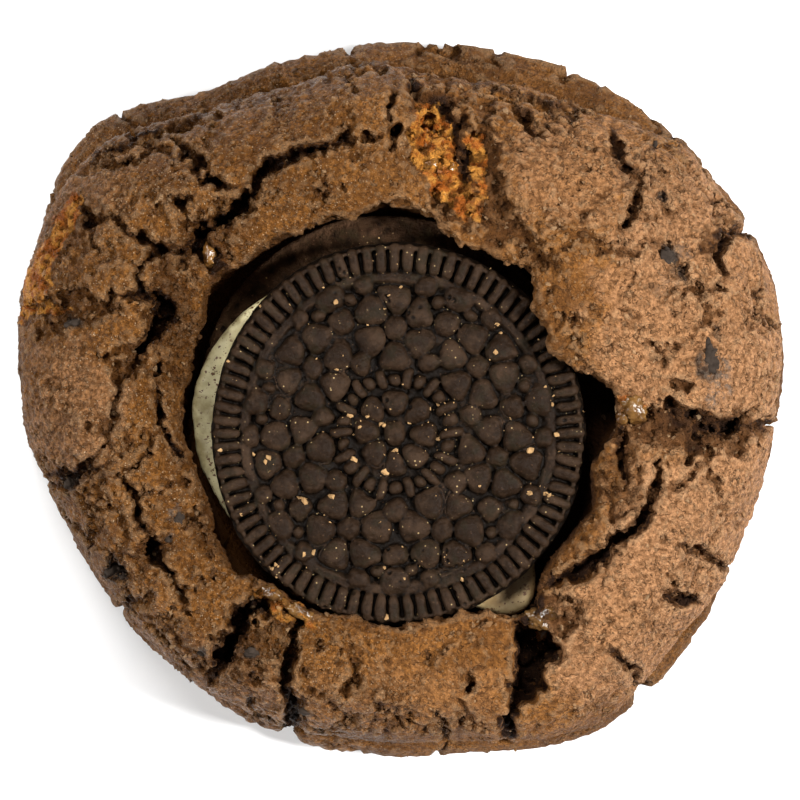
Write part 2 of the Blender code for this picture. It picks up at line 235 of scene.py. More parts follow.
def mixColour(tree, factor, first, second, blend="MIX"):
    mix = addNode(tree, "ShaderNodeMix", data_type="RGBA", blend_type=blend)
    for key, value in ((0, factor), (6, first), (7, second)):
        if isinstance(value, bpy.types.NodeSocket):
            tree.links.new(value, mix.inputs[key])
        else:
            mix.inputs[key].default_value = (*value, 1.0) if key else value
    return mix.outputs[2]


def maths(tree, operation, first, second=0.0, third=0.0):
    return addNode(tree, "ShaderNodeMath", {0: first, 1: second, 2: third}, operation=operation).outputs[0]


def fade(tree, value, low, high, start=0.0, end=1.0):
    spread = {"Value": value, "From Min": low, "From Max": high, "To Min": start, "To Max": end}
    return addNode(tree, "ShaderNodeMapRange", spread, interpolation_type="SMOOTHSTEP").outputs[0]


def speckle(tree, place, size, detail=3.0, rough=0.55, twist=0.0):
    values = {"Vector": place, "Scale": 1.0 / (size * mm), "Detail": detail, "Roughness": rough,
              "Distortion": twist}
    return addNode(tree, "ShaderNodeTexNoise", values).outputs["Fac"]


def pebbles(tree, place, size, feature="F1"):
    values = {"Vector": place, "Scale": 1.0 / (size * mm)}
    return addNode(tree, "ShaderNodeTexVoronoi", values, feature=feature).outputs["Distance"]


def share(tree, name):
    return addNode(tree, "ShaderNodeAttribute", attribute_name=name).outputs["Fac"]


def bump(tree, height, depth, strength=1.0, normal=None):
    values = {"Height": height, "Distance": depth * mm, "Strength": strength}
    if normal is not None:
        values["Normal"] = normal
    return addNode(tree, "ShaderNodeBump", values).outputs["Normal"]


def times(tree, first, second):
    return maths(tree, "MULTIPLY", first, second)


def scaled(tree, vector, by):
    return addNode(tree, "ShaderNodeVectorMath", {0: vector, "Scale": by}, operation="SCALE").outputs[0]


def ragged(tree, place, size, reach, detail=2.0):  # the place pushed about, so that edges turn ragged
    values = {"Vector": place, "Scale": 1.0 / (size * mm), "Detail": detail}
    way = addNode(tree, "ShaderNodeTexNoise", values).outputs["Color"]
    push = scaled(tree, way, reach * mm)
    return addNode(tree, "ShaderNodeVectorMath", {0: place, 1: push}, operation="ADD").outputs[0]


def startMaterial(name, **fixed):
    material = bpy.data.materials.new(name)
    material.use_nodes = True
    tree = material.node_tree
    shader = tree.nodes["Principled BSDF"]
    for label, value in fixed.items():
        shader.inputs[label.replace("_", " ")].default_value = value
    place = addNode(tree, "ShaderNodeTexCoord").outputs["Object"]
    return material, tree, shader, place


# Sizes are in mm. A range gives the values between which a layer fades in, and then, where they
# aren't 0 and 1, its least and greatest strength.
crustLook = {
    "colours": {
        "brown": (0.190, 0.072, 0.014),
        "warm": (0.335, 0.134, 0.029),
        "tan": (0.54, 0.270, 0.124),
        # deep is painted shade: the near black of pits and deep cracks
        "deep": (0.014, 0.005, 0.002),
        # inside is the darker crumb of cracks, broken places, sand and smudges, and also painted shade in
        # gaps, dimples, slits, fine cracks, dips and the caramel
        "inside": (0.088, 0.032, 0.007),
        "orange": (0.38, 0.100, 0.012),
        "amber": (0.68, 0.290, 0.050),
        "dust": (0.17, 0.130, 0.10),
        "chunk": (0.016, 0.010, 0.007),
        "frosted": (0.085, 0.062, 0.045),
        # fleck is pale grain and crumbs, and also painted glints and painted highlight on peaks
        "fleck": (0.50, 0.32, 0.17),
        # painted glints
        "sparkleGlint": (0.62, 0.46, 0.30),
    },
    "noise": {
        "patches": {"size": 7.0, "detail": 5.0, "rough": 0.6, "twist": 0.4},
        "sand": {"size": 0.55, "detail": 4.0, "rough": 0.7},
        "fineSand": {"size": 0.22, "detail": 2.0, "rough": 0.6},
        "smudges": {"size": 2.4, "detail": 5.0, "rough": 0.7, "twist": 0.8},
        "wideNetPlaces": {"size": 2.2},
        "fineNetPlaces": {"size": 0.9},
        "contour": {"size": 1.3, "detail": 2.0, "rough": 0.5},
        "slitPlaces": {"size": 1.0, "detail": 1.0},
        "caramelEdge": {"size": 1.9, "detail": 3.0, "rough": 0.6},
        "caramelTint": {"size": 1.7, "detail": 3.0},
        "caramelShadow": {"size": 2.0, "detail": 4.0, "rough": 0.65, "twist": 0.6},
        "dustEdge": {"size": 0.9, "detail": 5.0, "rough": 0.75},
        "chunkEdge": {"size": 1.1, "detail": 5.0, "rough": 0.7},
        "chunkTint": {"size": 0.45, "detail": 3.0},
        "lumps": {"size": 0.8, "detail": 6.0, "rough": 0.75},
        "fineLumps": {"size": 0.36, "detail": 3.0, "rough": 0.7},
    },
    "cells": {"pits": 0.7, "granules": 0.58, "dimpleShade": 0.85, "sparkle": 0.5,
              "wideNet": 2.3, "fineNet": 1.2},
    "shaken": {"size": 0.8, "reach": 1.5, "detail": 3.0},
    "nudged": {"size": 0.4, "reach": 0.45},
    "range": {
        "patches": (0.35, 0.65),
        "sand": (0.58, 0.34, 0.0, 0.65),
        "fineSand": (0.62, 0.78, 0.0, 0.5),
        "pits": (0.22, 0.1),
        "pitPlaces": (0.45, 0.6, 0.15, 0.7),
        "smudges": (0.54, 0.7, 0.0, 0.45),
        "wideNet": (0.09, 0.02),
        "wideNetPlaces": (0.5, 0.58),
        "fineNet": (0.12, 0.03),
        "fineNetPlaces": (0.52, 0.6),
        "sugared": (12.0 * mm, -15.0 * mm),  # along X: one side is more sugared than the other
        "foot": (13.0 * mm, 8.0 * mm),
        "between": (0.42, 0.75, 0.0, 0.4),
        "dimpleShade": (0.34, 0.12, 0.0, 0.7),
        "sparkle": (0.2, 0.1, 0.0, 0.7),
        "slits": (0.03, 0.008),
        "slitPlaces": (0.5, 0.57),
        "glints": (0.26, 0.1),
        "glintPlaces": (0.45, 0.6),
        "glintStrength": (0.0, 1.0, 0.15, 0.6),
        "peakHighlight": (0.46, 0.15, 0.0, 0.25),
        "dipShade": (0.53, 0.85),
        "exposed": (0.05, 0.4, 0.35, 0.9),
        "crackEdge": (0.05, 0.5, 0.0, 0.85),
        "deepCrackShade": (0.4, 0.9, 0.0, 0.9),
        "caramel": (0.78, 1.15, 0.0, 0.92),
        "caramelTint": (0.4, 0.6),
        "caramelDipShade": (0.46, 0.7, 0.0, 0.7),
        "caramelShadow": (0.53, 0.66, 0.0, 0.75),
        "dustEdge": (0.44, 0.6, 0.0, 0.8),
        "chunkEdge": (0.36, 0.54),
        "chunkTint": (0.45, 0.62),
        "paleCrumbs": (0.86, 1.0, 0.0, 0.5),
        "darkCrumbs": (0.3, 0.02),
        "roughness": (0.0, 1.0, 0.7, 0.4),
    },
    "strength": {
        "paleAndLit": 0.95,
        "slits": 0.7,
        "fineNet": 0.7,
        "fineCracks": 0.5,
        "broken": 0.5,
        "darkCrumbs": 0.7,
        "sugaredGapShade": 0.5,
    },
    "relief": {
        "lumps": 0.8,
        "granules": 0.32,
        "pitDepth": 0.22,
        "pits": 0.9,
        "grainGain": 1.3,
        "grainLeast": 0.5,
        "fineCracks": 0.2,
        "slits": 0.3,
        "depth": 1.15,
    },
    "specular": 0.12,
}


def crustNoise(tree, place, name):
    return speckle(tree, place, **crustLook["noise"][name])


def crustFade(tree, value, name):
    return fade(tree, value, *crustLook["range"][name])


def crustPatterns(tree, place):  # what more than one layer of the crust uses
    sizes, strength = crustLook["cells"], crustLook["strength"]
    names = ("crack", "rough", "paleAndLit", "cavity", "caramel", "dust", "chunk")
    seen = {name: share(tree, name) for name in names}
    for name in ("patches", "sand", "fineSand"):
        seen[name] = crustNoise(tree, place, name)
    shaken = ragged(tree, place, **crustLook["shaken"])
    nudged = ragged(tree, place, **crustLook["nudged"])
    parts = addNode(tree, "ShaderNodeSeparateXYZ", {0: place})
    seen["sugared"] = crustFade(tree, parts.outputs["X"], "sugared")
    seen["foot"] = crustFade(tree, parts.outputs["Z"], "foot")
    seen["pits"] = pebbles(tree, place, sizes["pits"])
    seen["granules"] = pebbles(tree, nudged, sizes["granules"])
    seen["dimpleShade"] = crustFade(tree, pebbles(tree, nudged, sizes["dimpleShade"]), "dimpleShade")
    seen["sparkle"] = crustFade(tree, pebbles(tree, place, sizes["sparkle"]), "sparkle")
    nets = []
    for name, spot in (("wideNet", shaken), ("fineNet", nudged)):
        net = crustFade(tree, pebbles(tree, spot, sizes[name], "DISTANCE_TO_EDGE"), name)
        where = crustFade(tree, crustNoise(tree, place, name + "Places"), name + "Places")
        nets.append(times(tree, net, where))
    seen["fineCracks"] = maths(tree, "MAXIMUM", nets[0], times(tree, nets[1], strength["fineNet"]))
    contour = maths(tree, "ABSOLUTE", maths(tree, "SUBTRACT", crustNoise(tree, place, "contour"), 0.5))
    where = crustFade(tree, crustNoise(tree, place, "slitPlaces"), "slitPlaces")
    seen["slits"] = times(tree, crustFade(tree, contour, "slits"), where)
    return seen


def bakedBrown(tree, place, seen):  # the crust's own colour, with sand, pits and smudges
    tints, strength = crustLook["colours"], crustLook["strength"]
    colour = mixColour(tree, crustFade(tree, seen["patches"], "patches"), tints["brown"], tints["warm"])
    # painted light: tan where the crust catches more light, partly also paler crust
    colour = mixColour(tree, times(tree, seen["paleAndLit"], strength["paleAndLit"]), colour, tints["tan"])
    colour = mixColour(tree, crustFade(tree, seen["sand"], "sand"), colour, tints["inside"])
    colour = mixColour(tree, crustFade(tree, seen["fineSand"], "fineSand"), colour, tints["fleck"])
    # painted shade: the pits turn near black
    pitShade = crustFade(tree, seen["pits"], "pits")
    pitShade = times(tree, pitShade, crustFade(tree, seen["patches"], "pitPlaces"))
    colour = mixColour(tree, pitShade, colour, tints["deep"])
    smudges = crustFade(tree, crustNoise(tree, place, "smudges"), "smudges")
    return mixColour(tree, smudges, colour, tints["inside"])


def sugarGrain(tree, seen, colour):  # the granules and the fine net between them, with painted shade in their gaps and dimples and painted glints on them
    tints, strength = crustLook["colours"], crustLook["strength"]
    # painted shade in the gaps between the granules, more on the sugared side
    gaps = maths(tree, "MULTIPLY_ADD", seen["sugared"], strength["sugaredGapShade"], 1.0)
    between = times(tree, crustFade(tree, seen["granules"], "between"), gaps)
    colour = mixColour(tree, between, colour, tints["inside"])
    # painted shade in small dimples
    colour = mixColour(tree, times(tree, seen["dimpleShade"], seen["sugared"]), colour, tints["inside"])
    # painted glints on the sugared side
    colour = mixColour(tree, times(tree, seen["sparkle"], seen["sugared"]), colour, tints["sparkleGlint"])
    # partly painted shade in the slits, partly the darker crumb inside them
    colour = mixColour(tree, times(tree, seen["slits"], strength["slits"]), colour, tints["inside"])
    # painted glints on the granules, strongest on the sugared side
    glints = crustFade(tree, seen["granules"], "glints")
    glints = times(tree, glints, crustFade(tree, seen["fineSand"], "glintPlaces"))
    glints = times(tree, glints, crustFade(tree, seen["sugared"], "glintStrength"))
    colour = mixColour(tree, glints, colour, tints["fleck"])
    # partly painted shade in the fine cracks, partly the darker crumb inside them
    net = times(tree, seen["fineCracks"], strength["fineCracks"])
    return mixColour(tree, net, colour, tints["inside"])


def crackColour(tree, seen, colour):  # painted highlight on peaks, painted shade in dips where the crust is broken, and the cracks: darker crumb at their walls with painted shade deep down
    tints = crustLook["colours"]
    # painted highlight on the peaks
    colour = mixColour(tree, crustFade(tree, seen["cavity"], "peakHighlight"), colour, tints["fleck"])
    broken = times(tree, seen["rough"], crustLook["strength"]["broken"])
    colour = mixColour(tree, broken, colour, tints["inside"])
    exposed = crustFade(tree, maths(tree, "MAXIMUM", seen["rough"], seen["crack"]), "exposed")
    # painted shade in the dips of broken crust and cracks
    dipShade = times(tree, crustFade(tree, seen["cavity"], "dipShade"), exposed)
    colour = mixColour(tree, dipShade, colour, tints["inside"])
    # the darker crumb of a crack's walls, partly painted shade
    colour = mixColour(tree, crustFade(tree, seen["crack"], "crackEdge"), colour, tints["inside"])
    # painted shade deep in the cracks
    return mixColour(tree, crustFade(tree, seen["crack"], "deepCrackShade"), colour, tints["deep"])


def caramelColour(tree, place, seen, colour):
    tints = crustLook["colours"]
    caramel = maths(tree, "ADD", seen["caramel"], crustNoise(tree, place, "caramelEdge"))
    caramel = crustFade(tree, caramel, "caramel")
    tint = crustFade(tree, crustNoise(tree, place, "caramelTint"), "caramelTint")
    colour = mixColour(tree, caramel, colour, mixColour(tree, tint, tints["orange"], tints["amber"]))
    # painted shade in the caramel's dips
    sunk = times(tree, caramel, crustFade(tree, seen["cavity"], "caramelDipShade"))
    colour = mixColour(tree, sunk, colour, tints["inside"])
    shadowed = crustFade(tree, crustNoise(tree, place, "caramelShadow"), "caramelShadow")
    return mixColour(tree, times(tree, caramel, shadowed), colour, tints["inside"])


def chunkColour(tree, place, seen, colour):  # pale dust, and dark bits of biscuit in the crust
    tints = crustLook["colours"]
    dust = times(tree, seen["dust"], crustFade(tree, crustNoise(tree, place, "dustEdge"), "dustEdge"))
    colour = mixColour(tree, dust, colour, tints["dust"])
    chunk = times(tree, seen["chunk"], crustFade(tree, crustNoise(tree, place, "chunkEdge"), "chunkEdge"))
    tint = crustFade(tree, crustNoise(tree, place, "chunkTint"), "chunkTint")
    return mixColour(tree, chunk, colour, mixColour(tree, tint, tints["chunk"], tints["frosted"]))


def crumbTint(tree, colour):  # only loose crumbs and grains have a pick above 0
    tints, pick = crustLook["colours"], share(tree, "pick")
    colour = mixColour(tree, crustFade(tree, pick, "paleCrumbs"), colour, tints["fleck"])
    darker = times(tree, crustFade(tree, pick, "darkCrumbs"), maths(tree, "GREATER_THAN", pick, 0.0))
    darker = times(tree, darker, crustLook["strength"]["darkCrumbs"])
    return mixColour(tree, darker, colour, tints["inside"])


def crustRelief(tree, place, seen):
    relief = crustLook["relief"]
    gain = maths(tree, "MAXIMUM", seen["sugared"], seen["foot"])
    gain = maths(tree, "MULTIPLY_ADD", gain, relief["grainGain"], relief["grainLeast"])
    height = times(tree, crustNoise(tree, place, "lumps"), relief["lumps"])
    height = maths(tree, "SUBTRACT", height, times(tree, seen["granules"], relief["granules"]))
    pits = maths(tree, "MINIMUM", seen["pits"], relief["pitDepth"])
    height = maths(tree, "ADD", height, times(tree, pits, relief["pits"]))
    height = maths(tree, "ADD", height, times(tree, crustNoise(tree, place, "fineLumps"), gain))
    height = maths(tree, "SUBTRACT", height, times(tree, seen["fineCracks"], relief["fineCracks"]))
    height = maths(tree, "SUBTRACT", height, times(tree, seen["slits"], relief["slits"]))
    return bump(tree, height, relief["depth"])


def makeCrust():
    material, tree, shader, place = startMaterial("bakedCrust", Specular_IOR_Level=crustLook["specular"])
    seen = crustPatterns(tree, place)
    colour = bakedBrown(tree, place, seen)
    colour = sugarGrain(tree, seen, colour)
    colour = crackColour(tree, seen, colour)
    colour = caramelColour(tree, place, seen, colour)
    colour = chunkColour(tree, place, seen, colour)
    colour = crumbTint(tree, colour)
    tree.links.new(colour, shader.inputs["Base Color"])
    shine = maths(tree, "MAXIMUM", seen["sugared"], seen["caramel"])
    tree.links.new(crustFade(tree, shine, "roughness"), shader.inputs["Roughness"])
    tree.links.new(crustRelief(tree, place, seen), shader.inputs["Normal"])
    return material


waferLook = {
    "colours": {
        # dark is painted shade on the low ground and in dips
        "dark": (0.0040, 0.0024, 0.0014),
        # worn is wear and painted highlight on the pads
        "worn": (0.034, 0.0190, 0.0106),
        "brown": (0.0118, 0.0061, 0.0031),
        "olive": (0.0120, 0.0090, 0.0044),
        "fleck": (0.10, 0.052, 0.028),
        "gold": (0.48, 0.34, 0.16),
    },
    "raised": (1.35, 0.45),  # mm under the top between which the relief turns from ground, painted in shade, to pad
    "noise": {
        "patches": {"size": 3.5, "detail": 5.0, "rough": 0.65},
        "sand": {"size": 0.35, "detail": 3.0, "rough": 0.65},
        "tint": {"size": 2.2, "detail": 3.0},
        "lumps": {"size": 0.9, "detail": 5.0, "rough": 0.7},
    },
    "dotSize": 0.75,
    "range": {
        "wearAndHighlight": (0.45, 0.68),
        "tint": (0.5, 0.66, 0.0, 0.6),
        "dipShade": (0.5, 0.75, 0.0, 0.95),
        "peakHighlight": (0.46, 0.2, 0.0, 0.5),
        "sand": (0.62, 0.76, 0.0, 0.55),
        "dots": (0.17, 0.08),
        "dotPlaces": (0.52, 0.6),
        "roughness": (0.3, 0.7, 0.42, 0.58),
    },
    "dotStrength": 0.6,
    "sandHeight": 0.5,
    "grainDepth": 0.22,
    "specular": 0.06,
    "backLightGains": (2.7, 2.5, 2.3),  # painted light: the lower wafer's rim is painted paler against the shade it lies in, and its grain is coarser
    "backGrainDepth": 0.9,
}


def makeWafer(name, top, lightGains, grainDepth):
    material, tree, shader, place = startMaterial(name, Specular_IOR_Level=waferLook["specular"])
    noises, ranges, tints = waferLook["noise"], waferLook["range"], {}
    for label, colour in waferLook["colours"].items():
        # the gains brighten the colours: painted light for a wafer that lies in shade
        tints[label] = tuple(part * gain for part, gain in zip(colour, lightGains))
    height = addNode(tree, "ShaderNodeSeparateXYZ", {0: place}).outputs["Z"]
    raised = fade(tree, height, *((top - below) * mm for below in waferLook["raised"]))
    patches = speckle(tree, place, **noises["patches"])
    sand = speckle(tree, place, **noises["sand"])
    cavity = share(tree, "cavity")
    # painted shade on the low ground between the pads
    colour = mixColour(tree, raised, tints["dark"], tints["brown"])
    # lighter patches on the pads: partly wear, partly painted highlight
    wearAndHighlight = times(tree, raised, fade(tree, patches, *ranges["wearAndHighlight"]))
    colour = mixColour(tree, wearAndHighlight, colour, tints["worn"])
    tint = fade(tree, speckle(tree, place, **noises["tint"]), *ranges["tint"])
    colour = mixColour(tree, times(tree, raised, tint), colour, tints["olive"])
    # painted shade in the dips
    colour = mixColour(tree, fade(tree, cavity, *ranges["dipShade"]), colour, tints["dark"])
    # painted highlight on the peaks
    colour = mixColour(tree, fade(tree, cavity, *ranges["peakHighlight"]), colour, tints["worn"])
    colour = mixColour(tree, fade(tree, sand, *ranges["sand"]), colour, tints["fleck"])
    dots = fade(tree, pebbles(tree, place, waferLook["dotSize"]), *ranges["dots"])
    dots = times(tree, dots, fade(tree, patches, *ranges["dotPlaces"]))
    colour = mixColour(tree, times(tree, dots, waferLook["dotStrength"]), colour, tints["gold"])
    tree.links.new(colour, shader.inputs["Base Color"])
    tree.links.new(fade(tree, patches, *ranges["roughness"]), shader.inputs["Roughness"])
    relief = times(tree, sand, waferLook["sandHeight"])
    relief = maths(tree, "ADD", speckle(tree, place, **noises["lumps"]), relief)
    tree.links.new(bump(tree, relief, grainDepth), shader.inputs["Normal"])
    return material


creamLook = {
    "colours": {
        "shaded": (0.26, 0.205, 0.088),
        "pale": (0.55, 0.485, 0.27),
        "soiledAndShaded": (0.25, 0.150, 0.060),
        "crumb": (0.11, 0.045, 0.018),
        "sand": (0.22, 0.15, 0.08),
    },
    "noise": {
        "patches": {"size": 4.0, "detail": 4.0, "rough": 0.6},
        "specks": {"size": 0.45, "detail": 2.0, "rough": 0.6},
        "sand": {"size": 0.4, "detail": 2.0},
        "folds": {"size": 1.5, "detail": 4.0, "rough": 0.6},
        "fineGrain": {"size": 0.3},
    },
    "nudged": {"size": 0.3, "reach": 0.4},
    "crumbSize": 0.8,
    "range": {
        "patches": (0.32, 0.62),
        "soiledAndShaded": (0.3, 0.6, 1.0, 0.75),
        "specks": (0.62, 0.66),
        "crumbs": (0.24, 0.17),
        "crumbPlaces": (0.36, 0.5),
        "sand": (0.62, 0.75, 0.0, 0.5),
    },
    "foldDepth": {"depth": 0.2, "strength": 0.6},
    "grainDepth": {"depth": 0.04, "strength": 0.5},
    "specular": 0.4,
    "roughness": 0.5,
}


def makeCream():
    gloss = {"Specular_IOR_Level": creamLook["specular"], "Roughness": creamLook["roughness"]}
    material, tree, shader, place = startMaterial("paleCream", **gloss)
    tints, noises, ranges = creamLook["colours"], creamLook["noise"], creamLook["range"]
    patches = speckle(tree, place, **noises["patches"])
    colour = mixColour(tree, fade(tree, patches, *ranges["patches"]), tints["shaded"], tints["pale"])
    # the tongue darker brown: partly crumbs of dough, partly painted shade
    soiledAndShaded = times(tree, share(tree, "soiledAndShaded"), fade(tree, patches, *ranges["soiledAndShaded"]))
    colour = mixColour(tree, soiledAndShaded, colour, tints["soiledAndShaded"])
    specks = fade(tree, speckle(tree, place, **noises["specks"]), *ranges["specks"])
    crumbs = pebbles(tree, ragged(tree, place, **creamLook["nudged"]), creamLook["crumbSize"])
    specks = maths(tree, "MAXIMUM", specks, fade(tree, crumbs, *ranges["crumbs"]))
    specks = times(tree, specks, fade(tree, patches, *ranges["crumbPlaces"]))
    colour = mixColour(tree, specks, colour, tints["crumb"])
    sand = fade(tree, speckle(tree, place, **noises["sand"]), *ranges["sand"])
    colour = mixColour(tree, sand, colour, tints["sand"])
    tree.links.new(colour, shader.inputs["Base Color"])
    normal = bump(tree, speckle(tree, place, **noises["folds"]), **creamLook["foldDepth"])
    fineGrain = speckle(tree, place, **noises["fineGrain"])
    normal = bump(tree, fineGrain, normal=normal, **creamLook["grainDepth"])
    tree.links.new(normal, shader.inputs["Normal"])
    return material


crumbLook = {
    "tanCrumb": ((0.16, 0.08, 0.03), (0.50, 0.31, 0.14)),  # from dark to light
    "darkChunk": ((0.008, 0.005, 0.003), (0.045, 0.032, 0.024)),
    "tint": {"size": 0.8, "detail": 3.0},
    "grainSize": 0.2,
    "grainDepth": {"depth": 0.06, "strength": 0.8},
    "specular": 0.1,
    "roughness": 0.85,
}


def makeCrumbLook(name):
    gloss = {"Specular_IOR_Level": crumbLook["specular"], "Roughness": crumbLook["roughness"]}
    material, tree, shader, place = startMaterial(name, **gloss)
    colour = mixColour(tree, speckle(tree, place, **crumbLook["tint"]), *crumbLook[name])
    tree.links.new(colour, shader.inputs["Base Color"])
    grained = bump(tree, speckle(tree, place, crumbLook["grainSize"]), **crumbLook["grainDepth"])
    tree.links.new(grained, shader.inputs["Normal"])
    return material


caramelLook = {
    "amber": ((0.12, 0.046, 0.009), (0.25, 0.115, 0.024)),
    "syrup": ((0.030, 0.013, 0.004), (0.120, 0.060, 0.018)),
    "patches": {"size": 2.0, "detail": 4.0, "rough": 0.6},
    "patchRange": (0.35, 0.65),
    "wrinkles": {"size": 0.9, "detail": 3.0, "rough": 0.6},
    "wrinkleDepth": {"depth": 0.3, "strength": 0.8},
    "specular": 0.5,
    "roughness": 0.2,
}


def makeCaramel():
    gloss = {"Specular_IOR_Level": caramelLook["specular"], "Roughness": caramelLook["roughness"]}
    material, tree, shader, place = startMaterial("stickyCaramel", **gloss)
    patches = fade(tree, speckle(tree, place, **caramelLook["patches"]), *caramelLook["patchRange"])
    amber = mixColour(tree, patches, *caramelLook["amber"])
    syrup = mixColour(tree, patches, *caramelLook["syrup"])
    tree.links.new(mixColour(tree, share(tree, "amber"), syrup, amber), shader.inputs["Base Color"])
    wrinkled = bump(tree, speckle(tree, place, **caramelLook["wrinkles"]), **caramelLook["wrinkleDepth"])
    tree.links.new(wrinkled, shader.inputs["Normal"])
    return material


